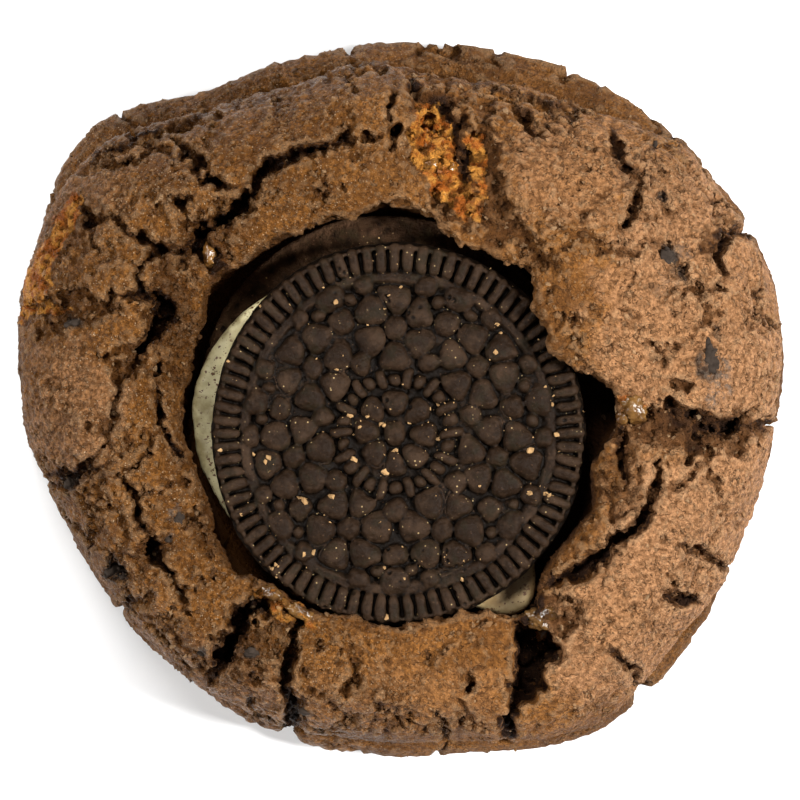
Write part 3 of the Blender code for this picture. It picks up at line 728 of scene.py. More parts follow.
# left and right are the crack's half widths in mm, depth is how deep it goes.
# Its points are x, y and the share of the width and depth that it has there.
cracks = (
    dict(left=1.1, right=1.3, depth=4.6, points=(
        (-1.6, 30.2, 0.1), (-2.9, 30.3, 0.4), (-7.0, 29.7, 0.6), (-10.2, 28.8, 0.9), (-13.7, 27.3, 0.6),
        (-15.9, 25.3, 0.8), (-18.4, 22.2, 0.9), (-21.3, 19.9, 1.0), (-22.9, 17.6, 1.0),
        (-20.8, 14.2, 1.2), (-19.5, 11.5, 1.2))),
    dict(left=0.6, right=0.6, depth=2.2, points=(
        (-26.4, 30.6, 0.3), (-25.5, 29.5, 0.9), (-23.7, 27.6, 0.8), (-22.5, 25.1, 1.0),
        (-20.5, 24.0, 0.7), (-17.8, 24.8, 0.5), (-16.2, 25.2, 0.6))),
    dict(left=0.8, right=0.7, depth=2.6, points=(
        (-27.9, 23.6, 0.2), (-26.7, 22.9, 0.7), (-25.4, 22.3, 1.0), (-24.2, 20.9, 0.8),
        (-22.5, 20.1, 1.0))),
    dict(left=0.6, right=0.6, depth=2.0, points=(
        (-36.6, 20.0, 0.3), (-35.4, 20.1, 0.7), (-32.2, 20.6, 0.6), (-31.3, 18.8, 0.9),
        (-29.5, 18.6, 0.7), (-27.8, 17.4, 1.0), (-24.8, 17.1, 0.8), (-22.6, 17.9, 1.0))),
    dict(left=0.5, right=0.5, depth=1.6, points=(
        (-28.4, 17.1, 1.0), (-29.3, 15.6, 0.8), (-30.0, 14.2, 0.8), (-29.0, 12.4, 0.9))),
    dict(left=1.3, right=1.1, depth=4.2, points=(
        (-33.4, 12.4, 0.3), (-31.3, 11.8, 0.6), (-28.6, 11.6, 0.8), (-27.0, 10.4, 1.2),
        (-27.9, 8.2, 1.3), (-29.5, 6.1, 0.9), (-31.0, 3.3, 0.5), (-33.1, -0.2, 0.35),
        (-33.0, -2.5, 0.35), (-34.5, -6.1, 0.4), (-36.5, -8.2, 0.5), (-38.6, -9.3, 0.9),
        (-41.5, -10.2, 0.3))),
    dict(left=0.45, right=0.45, depth=2.2, points=(
        (-36.5, -8.4, 0.8), (-34.8, -8.2, 0.8), (-33.1, -9.2, 0.6), (-31.0, -9.9, 0.7),
        (-30.6, -11.7, 0.8), (-29.5, -14.2, 1.1), (-28.5, -16.8, 1.5), (-27.6, -18.6, 1.5),
        (-26.7, -20.3, 0.7), (-25.3, -22.0, 0.6), (-24.1, -24.9, 0.4), (-23.6, -27.5, 0.2))),
    dict(left=0.4, right=0.4, depth=1.3, points=(
        (-33.1, -9.2, 0.9), (-30.1, -7.9, 0.9), (-28.7, -6.1, 0.8), (-28.9, -2.8, 0.3))),
    dict(left=1.6, right=1.5, depth=5.6, points=(
        (-13.6, -22.0, 1.3), (-14.9, -22.9, 1.2), (-17.5, -24.5, 1.1), (-18.6, -27.2, 1.0),
        (-19.9, -29.5, 0.9), (-21.3, -31.9, 0.5), (-23.0, -33.6, 0.2))),
    dict(left=0.8, right=0.8, depth=3.4, points=(
        (-11.0, -24.6, 1.1), (-11.5, -25.7, 1.1), (-12.6, -27.7, 0.9), (-12.4, -31.0, 0.8),
        (-13.4, -33.5, 1.2), (-12.6, -36.0, 0.7), (-12.3, -38.3, 1.0), (-12.4, -42.0, 1.3))),
    dict(left=1.9, right=2.3, depth=7.5, points=(
        (14.9, -22.6, 0.8), (15.1, -25.2, 0.9), (15.3, -27.2, 1.1), (15.7, -29.5, 1.2),
        (15.2, -31.8, 1.0), (13.8, -35.0, 0.5), (12.6, -36.9, 0.5), (12.4, -38.7, 0.4),
        (12.6, -42.5, 0.3))),
    dict(left=0.9, right=0.8, depth=3.2, points=(
        (16.8, -20.6, 0.8), (18.7, -20.4, 0.8), (21.1, -19.8, 0.8), (22.9, -18.3, 1.3),
        (25.7, -15.5, 1.1), (28.2, -13.4, 0.8), (29.3, -10.7, 0.8), (29.6, -8.7, 0.6),
        (29.2, -6.0, 0.2))),
    dict(left=0.9, right=0.9, depth=2.8, points=(
        (30.2, -22.0, 0.3), (31.0, -22.5, 0.9), (32.6, -23.2, 1.2), (34.2, -23.6, 0.8),
        (35.8, -24.4, 0.3))),
    dict(left=0.45, right=0.5, depth=1.9, points=(
        (24.6, 32.4, 0.3), (25.0, 31.0, 1.0), (25.3, 28.4, 1.1), (25.8, 27.5, 0.3), (26.3, 26.9, 0.9),
        (27.2, 24.7, 0.5), (27.6, 23.1, 1.1), (26.9, 22.2, 0.4), (26.4, 21.4, 1.3), (25.7, 19.9, 1.2),
        (24.9, 18.8, 0.2))),
    dict(left=0.4, right=0.4, depth=1.1, points=(
        (29.2, 22.7, 0.4), (30.9, 21.6, 1.1), (32.6, 21.8, 0.8), (34.0, 21.9, 0.6), (35.0, 21.8, 0.2))),
    dict(left=0.55, right=0.5, depth=1.9, points=(
        (44.6, 20.2, 1.4), (39.9, 19.2, 1.1), (38.0, 18.2, 0.8), (36.3, 16.9, 0.9), (37.1, 15.2, 0.8),
        (37.2, 13.6, 0.2))),
    dict(left=0.7, right=4.5, depth=1.5, points=(
        (9.7, 34.2, 0.2), (10.2, 31.8, 0.7), (10.8, 27.1, 1.0), (11.7, 23.5, 1.0), (14.0, 19.4, 0.9),
        (15.5, 18.0, 0.8))),
    dict(left=0.4, right=0.4, depth=0.4, points=(
        (16.4, 21.4, 0.6), (18.7, 18.8, 0.9), (22.3, 18.8, 0.9), (25.2, 20.1, 0.6))),
    dict(left=0.8, right=0.8, depth=2.6, points=(
        (24.5, -2.4, 1.2), (25.0, -4.4, 1.1), (25.9, -8.4, 0.9), (24.6, -11.0, 0.5))),
    dict(left=0.5, right=0.5, depth=1.6, points=(
        (-0.8, 35.9, 0.3), (-0.8, 34.9, 0.9), (-1.1, 31.4, 1.0), (-0.3, 28.0, 0.7), (0.8, 24.6, 0.3))),
    dict(left=0.5, right=0.5, depth=1.8, points=(
        (-38.5, 26.2, 0.4), (-34.8, 28.5, 0.9), (-31.6, 30.2, 1.0), (-28.6, 31.0, 1.3),
        (-25.1, 32.0, 0.8), (-19.3, 35.0, 0.6), (-10.5, 37.4, 0.5), (-1.8, 38.9, 0.6), (4.3, 38.1, 0.8),
        (11.7, 36.1, 0.6), (17.5, 34.7, 0.8), (23.4, 33.6, 0.5), (29.2, 30.6, 0.3))),
    dict(left=0.4, right=0.4, depth=1.2, points=(
        (-36.0, 26.4, 0.5), (-32.0, 27.2, 1.0), (-28.9, 28.6, 0.7), (-25.5, 29.5, 0.4))),
    dict(left=0.4, right=0.4, depth=1.1, points=(
        (31.0, 10.0, 0.3), (33.0, 12.4, 0.9), (35.6, 13.2, 0.8), (38.6, 12.0, 0.4))),
    dict(left=0.4, right=0.4, depth=1.1, points=(
        (-6.2, -27.2, 0.4), (-5.0, -31.0, 1.0), (-6.4, -34.6, 0.6))),
    dict(left=0.5, right=0.5, depth=2.2, points=(
        (-27.7, 5.0, 0.4), (-27.6, 1.6, 0.9), (-27.6, -0.8, 1.0), (-27.4, -3.6, 1.1),
        (-26.2, -4.8, 0.9), (-25.0, -6.4, 1.0))),
    dict(left=0.5, right=0.5, depth=1.8, points=(
        (-37.0, 22.6, 0.4), (-36.0, 20.4, 1.0), (-35.6, 18.2, 0.8), (-34.4, 16.8, 0.4))),
    dict(left=0.3, right=0.35, depth=1.2, points=(
        (-22.8, -8.8, 0.3), (-24.6, -9.6, 1.0), (-26.0, -9.0, 0.8), (-27.6, -10.4, 0.9),
        (-30.4, -11.0, 0.6))),
    dict(left=0.5, right=0.5, depth=1.4, points=(
        (12.0, 34.6, 0.3), (14.6, 33.4, 0.9), (15.2, 31.4, 1.0), (17.0, 30.2, 0.5))),
    dict(left=0.4, right=0.4, depth=1.2, points=(
        (7.4, -31.0, 0.3), (8.2, -33.0, 1.0), (7.4, -35.2, 0.8), (8.0, -37.6, 0.3))),
)

# x, y, half length, half width, turn and depth of each hole
holes = (
    (2.9, 32.0, 1.6, 1.2, 60, 5.5), (1.8, 36.2, 1.5, 0.9, 90, 3.6), (6.3, 28.4, 0.8, 0.7, 0, 3.2),
    (29.8, 23.2, 0.9, 0.7, 0, 1.5), (31.3, 17.2, 0.45, 1.3, 15, 1.8), (32.3, 14.6, 0.7, 0.8, 0, 1.6),
    (26.3, 21.0, 0.6, 1.1, -25, 2.2), (27.6, 23.2, 0.6, 0.6, 0, 1.8), (37.8, -3.4, 2.0, 1.1, 20, 4.2),
    (33.7, -1.4, 1.3, 0.9, 0, 3.8), (30.6, -0.2, 1.0, 0.8, 0, 3.2), (35.2, -3.8, 1.1, 0.9, 0, 4.0),
    (-0.6, 30.8, 1.3, 0.8, 80, 2.8), (8.0, 27.6, 0.7, 1.3, 10, 3.4), (29.6, 29.3, 0.8, 0.5, 60, 1.1),
    (32.3, 1.8, 1.4, 0.9, 0, 1.8), (-32.7, -19.9, 1.5, 1.4, 0, 2.6), (-38.0, -9.6, 1.0, 0.8, 0, 2.2),
    (-27.6, 9.6, 1.6, 1.3, 70, 2.4), (-22.4, 17.6, 1.6, 1.1, 30, 2.6), (35.0, -4.8, 1.2, 0.9, 20, 1.6),
    (31.0, 12.4, 0.9, 0.7, 0, 1.2), (17.0, -12.6, 0.8, 0.6, 0, 1.2), (-20.6, -27.6, 1.0, 0.8, 0, 2.0),
    (-12.9, -33.6, 1.0, 0.8, 90, 2.0), (30.2, 16.6, 0.7, 1.4, 0, 1.5), (12.6, 37.6, 1.0, 0.5, -25, 1.2),
    (-31.3, 30.9, 1.5, 0.6, -38, 1.4), (-28.4, 30.7, 0.8, 0.6, 0, 1.2),
    (-20.6, -9.4, 0.9, 0.35, 10, 1.4), (-7.0, -30.4, 0.3, 0.9, 20, 1.3),
    (-9.6, -28.6, 0.35, 0.8, 30, 1.2), (-4.4, -29.2, 0.3, 0.8, 10, 1.2),
    (-10.4, -31.6, 0.4, 0.8, 20, 1.3), (3.0, -29.0, 0.3, 1.1, 15, 1.3),
)

# x, y, half length, half width, turn, depth and height of the crumbs: broken places with no crust
brokenPlaces = (
    (5.0, 29.0, 8.0, 4.2, 105, 2.6, 1.6), (34.4, -3.4, 9.0, 3.2, -5, 2.6, 1.7),
    (-38.0, 10.4, 7.0, 2.4, 10, 1.6, 1.4), (-22.0, 18.5, 4.5, 3.2, 40, 0.9, 1.0),
    (16.6, -25.0, 3.4, 3.0, 60, 1.2, 1.0), (-28.2, -17.4, 3.0, 2.2, 60, 0.9, 0.9),
    (-14.4, -24.4, 5.0, 2.0, -30, 1.0, 0.9), (7.5, 21.8, 3.6, 2.2, -20, 0.9, 1.0),
    (26.0, -1.6, 2.8, 2.0, 0, 0.8, 1.0), (-39.0, 18.0, 2.2, 6.5, -25, 0.5, 0.7),
    (-16.5, -29.0, 4.0, 2.4, 60, 0.8, 0.8), (36.5, 17.4, 3.0, 2.0, 30, 0.6, 0.7),
    (-25.4, 7.0, 12.0, 2.8, 100, 0.8, 0.6), (25.4, -9.0, 7.0, 2.4, 80, 0.8, 0.8),
    (-20.8, -16.0, 4.0, 2.4, -50, 0.8, 0.8), (-20.0, 37.0, 15.0, 2.6, 22, 0.5, 0.9),
    (4.0, 41.0, 14.0, 2.2, -4, 0.4, 0.8), (23.0, 36.4, 10.0, 2.2, -32, 0.4, 0.8),
)

# x, y, half length, half width, turn and strength of each coloured patch
caramelPatches = (
    (4.0, 28.6, 6.4, 3.2, 105, 1.0), (7.6, 22.8, 3.0, 2.0, 120, 0.6), (-41.6, 14.6, 1.8, 7.4, -24, 1.0),
    (9.0, 27.0, 4.5, 1.2, 100, 0.7), (-38.4, 21.0, 1.5, 3.4, -24, 0.9),
    (-13.2, -24.4, 5.5, 1.6, -30, 0.45), (27.0, -1.0, 2.2, 1.6, 0, 0.5),
    (-40.6, 10.2, 3.2, 1.3, 0, 0.5), (24.8, 22.6, 0.8, 1.6, 0, 0.35),
)
dustPatches = (
    (32.4, 16.8, 1.1, 1.9, 15, 0.55), (30.6, 13.4, 1.2, 0.9, 0, 0.4), (36.6, 2.2, 1.7, 3.4, 0, 0.9),
    (-25.6, -13.2, 1.2, 1.4, 0, 0.8), (-26.3, -15.8, 1.2, 1.0, 0, 0.8),
    (-21.0, -29.0, 1.0, 0.8, 0, 0.4), (27.5, 27.0, 4.0, 3.0, 30, 0.18),
    (-12.0, -36.0, 1.5, 1.0, 0, 0.6),
)
chunkPatches = (
    (31.2, 16.4, 1.0, 2.3, 15, 0.9), (35.4, 4.0, 1.4, 2.8, 5, 0.9), (29.9, 23.1, 1.0, 0.8, 0, 1.0),
    (29.3, 12.8, 0.8, 0.7, 0, 0.45), (38.3, 14.2, 0.8, 0.6, 0, 0.5), (32.2, 14.4, 0.9, 0.9, 0, 0.8),
    (-32.7, -20.0, 1.8, 1.6, 0, 1.0), (-22.8, -29.2, 1.0, 0.8, 0, 0.9),
    (-16.9, -29.1, 1.3, 0.9, 0, 0.7), (-11.0, -36.0, 1.0, 0.7, 0, 0.7), (-37.3, 8.8, 1.5, 1.0, 10, 0.8),
    (-38.0, -9.6, 1.3, 1.0, 0, 0.9), (29.3, 29.4, 1.0, 0.7, 60, 0.8), (36.6, 7.6, 0.8, 1.0, 0, 0.6),
    (23.0, 14.5, 0.8, 0.7, 0, 0.35), (8.9, 36.4, 1.0, 0.6, 0, 0.5),
)
paleAndLitPatches = (  # the crust painted paler in patches: partly paler crust, partly painted light and sheen where it catches more light
    (34.5, 12.0, 13.5, 22.0, -20, 0.8), (33.0, -17.0, 12.0, 13.0, 0, 0.9),
    (-37.5, -1.5, 7.0, 9.0, 0, 0.6), (22.0, 26.0, 11.0, 8.0, 0, 0.5),
    (-17.0, -33.5, 9.0, 6.0, -30, 0.35), (2.0, -34.0, 14.0, 5.0, 0, 0.2),
    (-41.8, 14.6, 8.0, 2.2, 66, 0.6), (-38.2, 21.0, 3.6, 1.8, 66, 0.6),
    (42.0, -4.0, 8.0, 16.0, 0, 0.95), (24.0, -28.0, 10.0, 9.0, 0, 0.8), (-38.0, 26.0, 7.0, 8.0, 0, 0.3),
)
planMap = {
    "halfWidth": 50.0,
    "step": 0.14,
    "jags": ((2.3, 0.5), (0.95, 0.45), (0.45, 0.28)),  # size and reach of the ragged edges
    "widthGrain": ((2.1, 0.65), (0.8, 0.3)),  # size and strength of the changes along a crack's width
    "depthGrain": (1.1, 0.35),
    "wallShare": 0.28,  # share of a crack's half width that its slanting wall takes
    "narrow": 0.75,  # cracks with less half width than this get wider and deeper by these
    "narrowGains": (1.15, 1.45),
    "leastHalf": 0.05,
    "holeWall": 0.5,
    "patchEdge": 0.55,
    "brokenEdge": 0.5,
    "brokenJag": 2.2,  # how much more ragged than a crack a broken place is
    "brokenGrain": (2.6, 0.4),
    "crumbs": ((1.5, 0.65), (0.75, 0.35)),  # size and share of the crumbs in a broken place
    "crumbMiddle": 0.25,
    "plateSize": 8.0,
    "plateDrop": 0.8,
    "plateEdge": 0.06,
    "plateJag": 1.7,
    "wideNet": {"gap": (0.09, 0.03), "places": (-0.15, 0.15), "placeSize": 8.0, "depth": 1.2},
    "fineNet": {"gap": (0.13, 0.04), "places": (0.0, 0.3), "placeSize": 3.5, "depth": 0.7, "size": 2.7},
    "slits": {"size": 2.6, "keep": 0.6, "stretch": (1.0, 0.7, 1.0), "edge": (0.965, 0.99), "depth": 0.9,
              "places": ((2.2, 0.15, 0.35), (9.0, -0.2, 0.15))},  # size of the spots and where they begin
    "paleAndLitJag": 3.0,
}
planSeeds = {"warpX": 11, "warpY": 21, "width": 31, "depth": 36, "crumbs": 41, "broken": 51, "plates": 61,
             "fineNet": 65, "slits": 75}


def planGrid():
    count = int(2 * planMap["halfWidth"] / planMap["step"]) + 1
    line = np.linspace(-planMap["halfWidth"], planMap["halfWidth"], count)
    return np.meshgrid(line, line)


def patchShare(x, y, patch):  # 1 in the middle of a tilted oval, 0 outside it
    px, py, length, width, turn = patch[:5]
    c, s = math.cos(math.radians(turn)), math.sin(math.radians(turn))
    along = ((x - px) * c + (y - py) * s) / length
    across = ((y - py) * c - (x - px) * s) / width
    return np.clip(1.0 - (along * along + across * across), 0.0, 1.0)


def softPatches(x, y, patches):
    total = np.zeros_like(x)
    for patch in patches:
        strength = smoothStep(0.0, planMap["patchEdge"], patchShare(x, y, patch))
        total = np.maximum(total, patch[5] * strength)
    return total


def crackDepth(x, y, carve, crack, widthShare):
    points = crack["points"]
    widest = max(crack["left"], crack["right"])
    wider, deeper = planMap["narrowGains"] if widest < planMap["narrow"] else (1.0, 1.0)
    reach = widest * 1.6 + 1.0  # nothing farther than this from a stretch is touched by it
    for (ax, ay, aShare), (bx, by, bShare) in zip(points, points[1:]):
        near = (x > min(ax, bx) - reach) & (x < max(ax, bx) + reach)
        near &= (y > min(ay, by) - reach) & (y < max(ay, by) + reach)
        dx, dy = bx - ax, by - ay
        px, py = x[near] - ax, y[near] - ay
        t = np.clip((px * dx + py * dy) / (dx * dx + dy * dy), 0.0, 1.0)
        away = np.hypot(px - t * dx, py - t * dy)
        side = np.where(px * dy - py * dx > 0.0, crack["right"], crack["left"])
        opening = aShare + t * (bShare - aShare)
        half = side * wider * opening * widthShare[near]
        inner = np.clip(1.0 - away / np.maximum(half, planMap["leastHalf"]), 0.0, 1.0)
        wall = np.minimum(1.0, inner / planMap["wallShare"])
        depth = crack["depth"] * deeper * np.minimum(opening, 1.0) * wall
        carve[near] = np.maximum(carve[near], depth)


def carveCracks(place, wx, wy):
    widthShare = 1.0
    for k, (size, strength) in enumerate(planMap["widthGrain"]):
        widthShare = widthShare + strength * grain(place, size, planSeeds["width"] + k)
    carve = np.zeros_like(wx)
    for crack in cracks:
        crackDepth(wx, wy, carve, crack, widthShare)
    for hole in holes:
        inside = smoothStep(0.0, planMap["holeWall"], patchShare(wx, wy, hole))
        carve = np.maximum(carve, hole[5] * inside)
    size, strength = planMap["depthGrain"]
    return carve * (1.0 + strength * grain(place, size, planSeeds["depth"]))


def carveBroken(place, x, y, carve):  # the broken places, full of crumbs
    look = planMap
    (size, most), (fineSize, rest) = look["crumbs"]
    crumbs = most * cells(place, size, planSeeds["crumbs"], flat=True)[0]
    crumbs = crumbs + rest * cells(place, fineSize, planSeeds["crumbs"] + 4, flat=True)[0]
    grainSize, uneven = look["brokenGrain"]
    depth = (1.0 - uneven) + uneven * grain(place, grainSize, planSeeds["broken"])
    rough = np.zeros_like(x)
    for spot in brokenPlaces:
        inside = smoothStep(0.0, look["brokenEdge"], patchShare(x, y, spot))
        carve = np.maximum(carve, inside * (spot[5] * depth + spot[6] * (crumbs - look["crumbMiddle"])))
        rough = np.maximum(rough, inside)
    return carve, rough


def netShare(gap, place, net, seed):  # 1 in the gaps of a net of cells, where that net shows
    return smoothStep(*net["gap"], gap) * smoothStep(*net["places"], grain(place, net["placeSize"], seed))


def carvePlates(place, wide, carve):  # plates of crust, with fine cracks between some, and slits
    look, seeds = planMap, planSeeds
    near, after, drop = cells(wide, look["plateSize"], seeds["plates"], flat=True)
    plates = look["plateDrop"] * drop * smoothStep(0.0, look["plateEdge"], after - near)
    net = netShare(after - near, place, look["wideNet"], seeds["plates"] + 1)
    carve = np.maximum(carve, look["wideNet"]["depth"] * net)
    near, after = cells(wide, look["fineNet"]["size"], seeds["fineNet"], flat=True)[:2]
    net = netShare(after - near, place, look["fineNet"], seeds["fineNet"] + 1)
    carve = np.maximum(carve, look["fineNet"]["depth"] * net)
    slit = look["slits"]
    wave = layeredGrain(wide * slit["stretch"], slit["size"], seeds["slits"], 2, slit["keep"])
    slits = smoothStep(*slit["edge"], 1.0 - np.abs(wave))
    for k, (size, low, high) in enumerate(slit["places"]):
        slits = slits * smoothStep(low, high, grain(place, size, seeds["slits"] + 2 + k))
    return np.maximum(carve, slit["depth"] * slits), plates


def drawPlan():
    x, y = planGrid()
    place = np.stack([x, y, np.zeros_like(x)], axis=-1)
    jags = list(enumerate(planMap["jags"]))
    warpX = sum(reach * grain(place, size, planSeeds["warpX"] + k) for k, (size, reach) in jags)
    warpY = sum(reach * grain(place, size, planSeeds["warpY"] + k) for k, (size, reach) in jags)
    wx, wy = x + warpX, y + warpY
    carve = carveCracks(place, wx, wy)
    jag = planMap["brokenJag"]
    carve, rough = carveBroken(place, x + jag * warpX, y + jag * warpY, carve)
    jag = planMap["plateJag"]
    wide = np.stack([x + jag * warpX, y + jag * warpY, np.zeros_like(x)], axis=-1)
    carve, plates = carvePlates(place, wide, carve)
    jag = planMap["paleAndLitJag"]
    return {
        "carve": carve,
        "plates": plates,
        "rough": rough,
        "caramel": softPatches(wx, wy, caramelPatches),
        "dust": softPatches(wx, wy, dustPatches),
        "chunk": softPatches(wx, wy, chunkPatches),
        "paleAndLit": softPatches(x + jag * warpX, y + jag * warpY, paleAndLitPatches),
    }


def readPlan(drawn, points):  # the map's value under each point, points in the frame's millimetres
    where = (points[..., :2] - planShift + planMap["halfWidth"]) / planMap["step"]
    limit = drawn.shape[0] - 2
    column = np.clip(where[..., 0], 0, limit)
    row = np.clip(where[..., 1], 0, limit)
    i, j = row.astype(int), column.astype(int)
    v, u = row - i, column - j
    low = drawn[i, j] * (1 - u) + drawn[i, j + 1] * u
    high = drawn[i + 1, j] * (1 - u) + drawn[i + 1, j + 1] * u
    return low * (1 - v) + high * v


doughShape = {
    "footRadii": (44.9, 46.1, 45.2, 43.9, 42.5, 42.3, 42.6, 48.5, 46.4,
                  44.9, 42.2, 41.4, 41.9, 42.1, 42.3, 45.7, 45.0, 43.4),
    "lipRadii": (25.0, 26.0, 22.4, 21.4, 22.0, 24.3, 23.6, 22.8, 25.2, 26.4, 25.5, 25.7,
                 26.0, 26.1, 27.4, 25.4, 24.6, 24.4, 24.4, 23.5, 23.0, 23.6, 24.2, 23.0,
                 22.6, 22.5, 22.4, 22.4, 22.4, 22.5, 23.3, 24.4, 23.2, 23.5, 24.1, 23.1),
    "ledgeWidths": (0.5, 0.5, 0.5, 0.5, 0.7, 2.2, 3.9, 4.6, 4.3, 3.3, 2.8, 2.6,
                    2.6, 3.6, 3.2, 1.2, 0.5, 0.5, 0.5, 0.5, 0.5, 0.5, 0.5, 0.6,
                    0.8, 1.2, 2.0, 2.3, 2.0, 1.2, 1.2, 1.9, 1.6, 0.8, 0.5, 0.5),
    "baseInset": 3.6,
    "footHeight": 4.0,
    "creaseHeight": 8.6,
    "shoulderHeight": 11.2,
    "crownHeight": 26.6,
    "crownTilt": 1.0,
    "highestAngle": 40.0,
    "crownShare": 0.34,
    "lipDrop": 1.9,
    # angle, half width and further drop of the stretches where the lip slopes down
    "lipSlopes": ((160.0, 34.0, 3.6), (335.0, 34.0, 1.8), (217.0, 14.0, 1.6)),
    "lipThickness": 1.9,
    "floorHeight": 14.0,
    "waferRadius": 22.0,
    "creamRadius": 21.4,
    "lowerOffset": (-0.8, 3.3),
    "clearance": 0.4,
    "creamBulge": (2.2, 168.0, 47.0),  # how far, the middle angle and half the angle that it spans
    "creamTongue": (3.9, -54.0, 14.0, 0.7),  # the same, and how blunt it is
    # x, y, reach and rise of the places where the crown swells or sinks
    "swellings": ((18.5, 12.5, 9.0, 1.0), (-37.0, -1.0, 8.0, 0.7), (28.0, -16.0, 8.0, 0.5),
                  (17.0, 22.0, 7.0, 0.8), (4.6, 29.5, 5.5, -2.6), (34.5, -3.5, 5.0, -1.1),
                  (-37.0, 11.5, 4.5, -1.0)),
    "lumpSize": 9.0,
    "lumpHeight": 0.9,
    "rowStep": 0.27,
    "angleSteps": 1080,
    "voxel": 0.25,
    "triangles": 194000,
    "plainLength": 15.0,
    "plainRows": 6,
    "domeRows": 24,
    "domeBluntness": 0.9,
}


def creamTongue(degrees):
    reach, middle, half, bluntness = doughShape["creamTongue"]
    return reach * hump(degrees, middle, half) ** bluntness


def creamRadius(degrees):
    reach, middle, half = doughShape["creamBulge"]
    return doughShape["creamRadius"] + reach * hump(degrees, middle, half) + creamTongue(degrees)


def lowerReach(degrees):
    ox, oy = doughShape["lowerOffset"]
    c, s = np.cos(np.radians(degrees)), np.sin(np.radians(degrees))
    return ox * c + oy * s + np.sqrt(doughShape["waferRadius"] ** 2 - (ox * s - oy * c) ** 2)


def doughRows(degrees):  # (inward, radius, height, crust, wall) from the base over the crown to the floor
    shape = doughShape
    foot = around(shape["footRadii"], degrees)
    ledge = around(shape["ledgeWidths"], degrees)
    dome = foot - ledge
    lip = np.maximum(around(shape["lipRadii"], degrees), shape["creamRadius"] + creamTongue(degrees))
    discs = np.maximum(np.maximum(shape["waferRadius"], lowerReach(degrees)), creamRadius(degrees))
    wall = np.maximum(discs + shape["clearance"], lip)
    crown = shape["crownHeight"] + shape["crownTilt"] * np.cos(np.radians(degrees - shape["highestAngle"]))
    crownRadius = lip + shape["crownShare"] * (dome - lip)
    drop = shape["lipDrop"] + sum(deep * hump(degrees, at, half) for at, half, deep in shape["lipSlopes"])
    edge = crown - drop
    base, crease, shoulder = shape["baseInset"], shape["creaseHeight"], shape["shoulderHeight"]
    floor = shape["floorHeight"]
    same = np.ones_like(degrees)
    # the corners of the profile: the bare numbers are shares of the sizes above
    rows = [
        (0, 0.5 * foot, 0 * same, 0, 0),
        (0, foot - base, 0 * same, 0, 0),
        (0, foot - 0.35 * base, 0.22 * shape["footHeight"] * same, 0.2, 0),
        (0, foot, shape["footHeight"] * same, 0.5, 0),
        (0, foot - 0.45 * ledge, 0.75 * crease * same, 0.8, 0),
        (0, dome - 0.25 * ledge, crease * same, 1, 0),
        (0, dome, shoulder * same, 1, 0),
    ]
    for k in range(1, shape["domeRows"] + 1):
        turn = 0.5 * math.pi * k / shape["domeRows"]
        inward = 1 - math.cos(turn)
        height = shoulder + (crown - shoulder) * math.sin(turn) ** shape["domeBluntness"]
        rows.append((inward, dome + (crownRadius - dome) * inward, height, 1, 0))
    rows += [
        (1, lip + 0.55 * (crownRadius - lip), crown - 0.18 * drop, 1, 0),
        (1, lip + 0.15 * (crownRadius - lip), crown - 0.55 * drop, 0.5, 0.3),
        (1, lip, edge, 0, 1),
        (1, lip, edge - 0.35 * shape["lipThickness"], 0, 1),
        (1, wall, edge - shape["lipThickness"], 0, 1),
        (1, wall, (floor + 1) * same, 0, 1),
        (1, wall - 0.7, floor * same, 0, 1),
        (1, 0.5 * wall, floor * same, 0, 1),
    ]
    return rows


def swelling(x, y):
    total = 0.0
    for sx, sy, reach, rise in doughShape["swellings"]:
        total = total + rise * np.exp(-((x - sx) ** 2 + (y - sy) ** 2) / reach ** 2)
    return total


def smoothDough():  # the uncracked dough as rows of points, and how much of each row is the hollow's wall
    degrees = np.linspace(0.0, 360.0, doughShape["angleSteps"], endpoint=False)
    rays = np.stack([np.cos(np.radians(degrees)), np.sin(np.radians(degrees))], axis=-1)
    rows = []
    for row in doughRows(degrees):
        rows.append(tuple(np.broadcast_to(part, degrees.shape).astype(float) for part in row))
    fine = []
    for first, second in zip(rows, rows[1:]):
        length = np.hypot(first[1] - second[1], first[2] - second[2]).max()
        plain = length >= doughShape["plainLength"]  # the flat base needs few rows
        count = doughShape["plainRows"] if plain else max(1, math.ceil(length / doughShape["rowStep"]))
        for k in range(count):
            fine.append([a + (b - a) * k / count for a, b in zip(first, second)])
    fine.append(rows[-1])
    inward, radius, height, crust, wall = (np.array([row[part] for row in fine]) for part in range(5))
    flat = sandwichPlace * inward[..., None] + rays * radius[..., None]
    seen = np.stack([flat[..., 0], flat[..., 1], height], axis=-1) / doughShape["lumpSize"]
    lump = np.array([noise.noise(point) for point in seen.reshape(-1, 3).tolist()]).reshape(height.shape)
    lump = lump * crust * doughShape["lumpHeight"]
    flat = flat + rays * (lump * (1.0 - inward))[..., None]
    height = height + inward * (lump + crust * swelling(flat[..., 0], flat[..., 1]))
    grid = np.stack([flat[..., 0] + planShift[0], flat[..., 1] + planShift[1], height], axis=-1)
    return grid, wall, degrees


# angle, half width and depth of the splits that notch the outline
sideSplits = (
    (25.9, 1.0, 2.6), (-3.9, 1.1, 2.4), (-26.7, 0.8, 2.0), (-50.0, 0.9, 2.4), (251.6, 0.9, 2.2),
    (217.5, 0.7, 1.6), (166.7, 0.8, 1.8), (62.0, 0.6, 1.2), (98.0, 0.6, 1.2), (134.0, 0.7, 1.5),
    (194.0, 0.6, 1.2), (277.0, 0.6, 1.3),
)


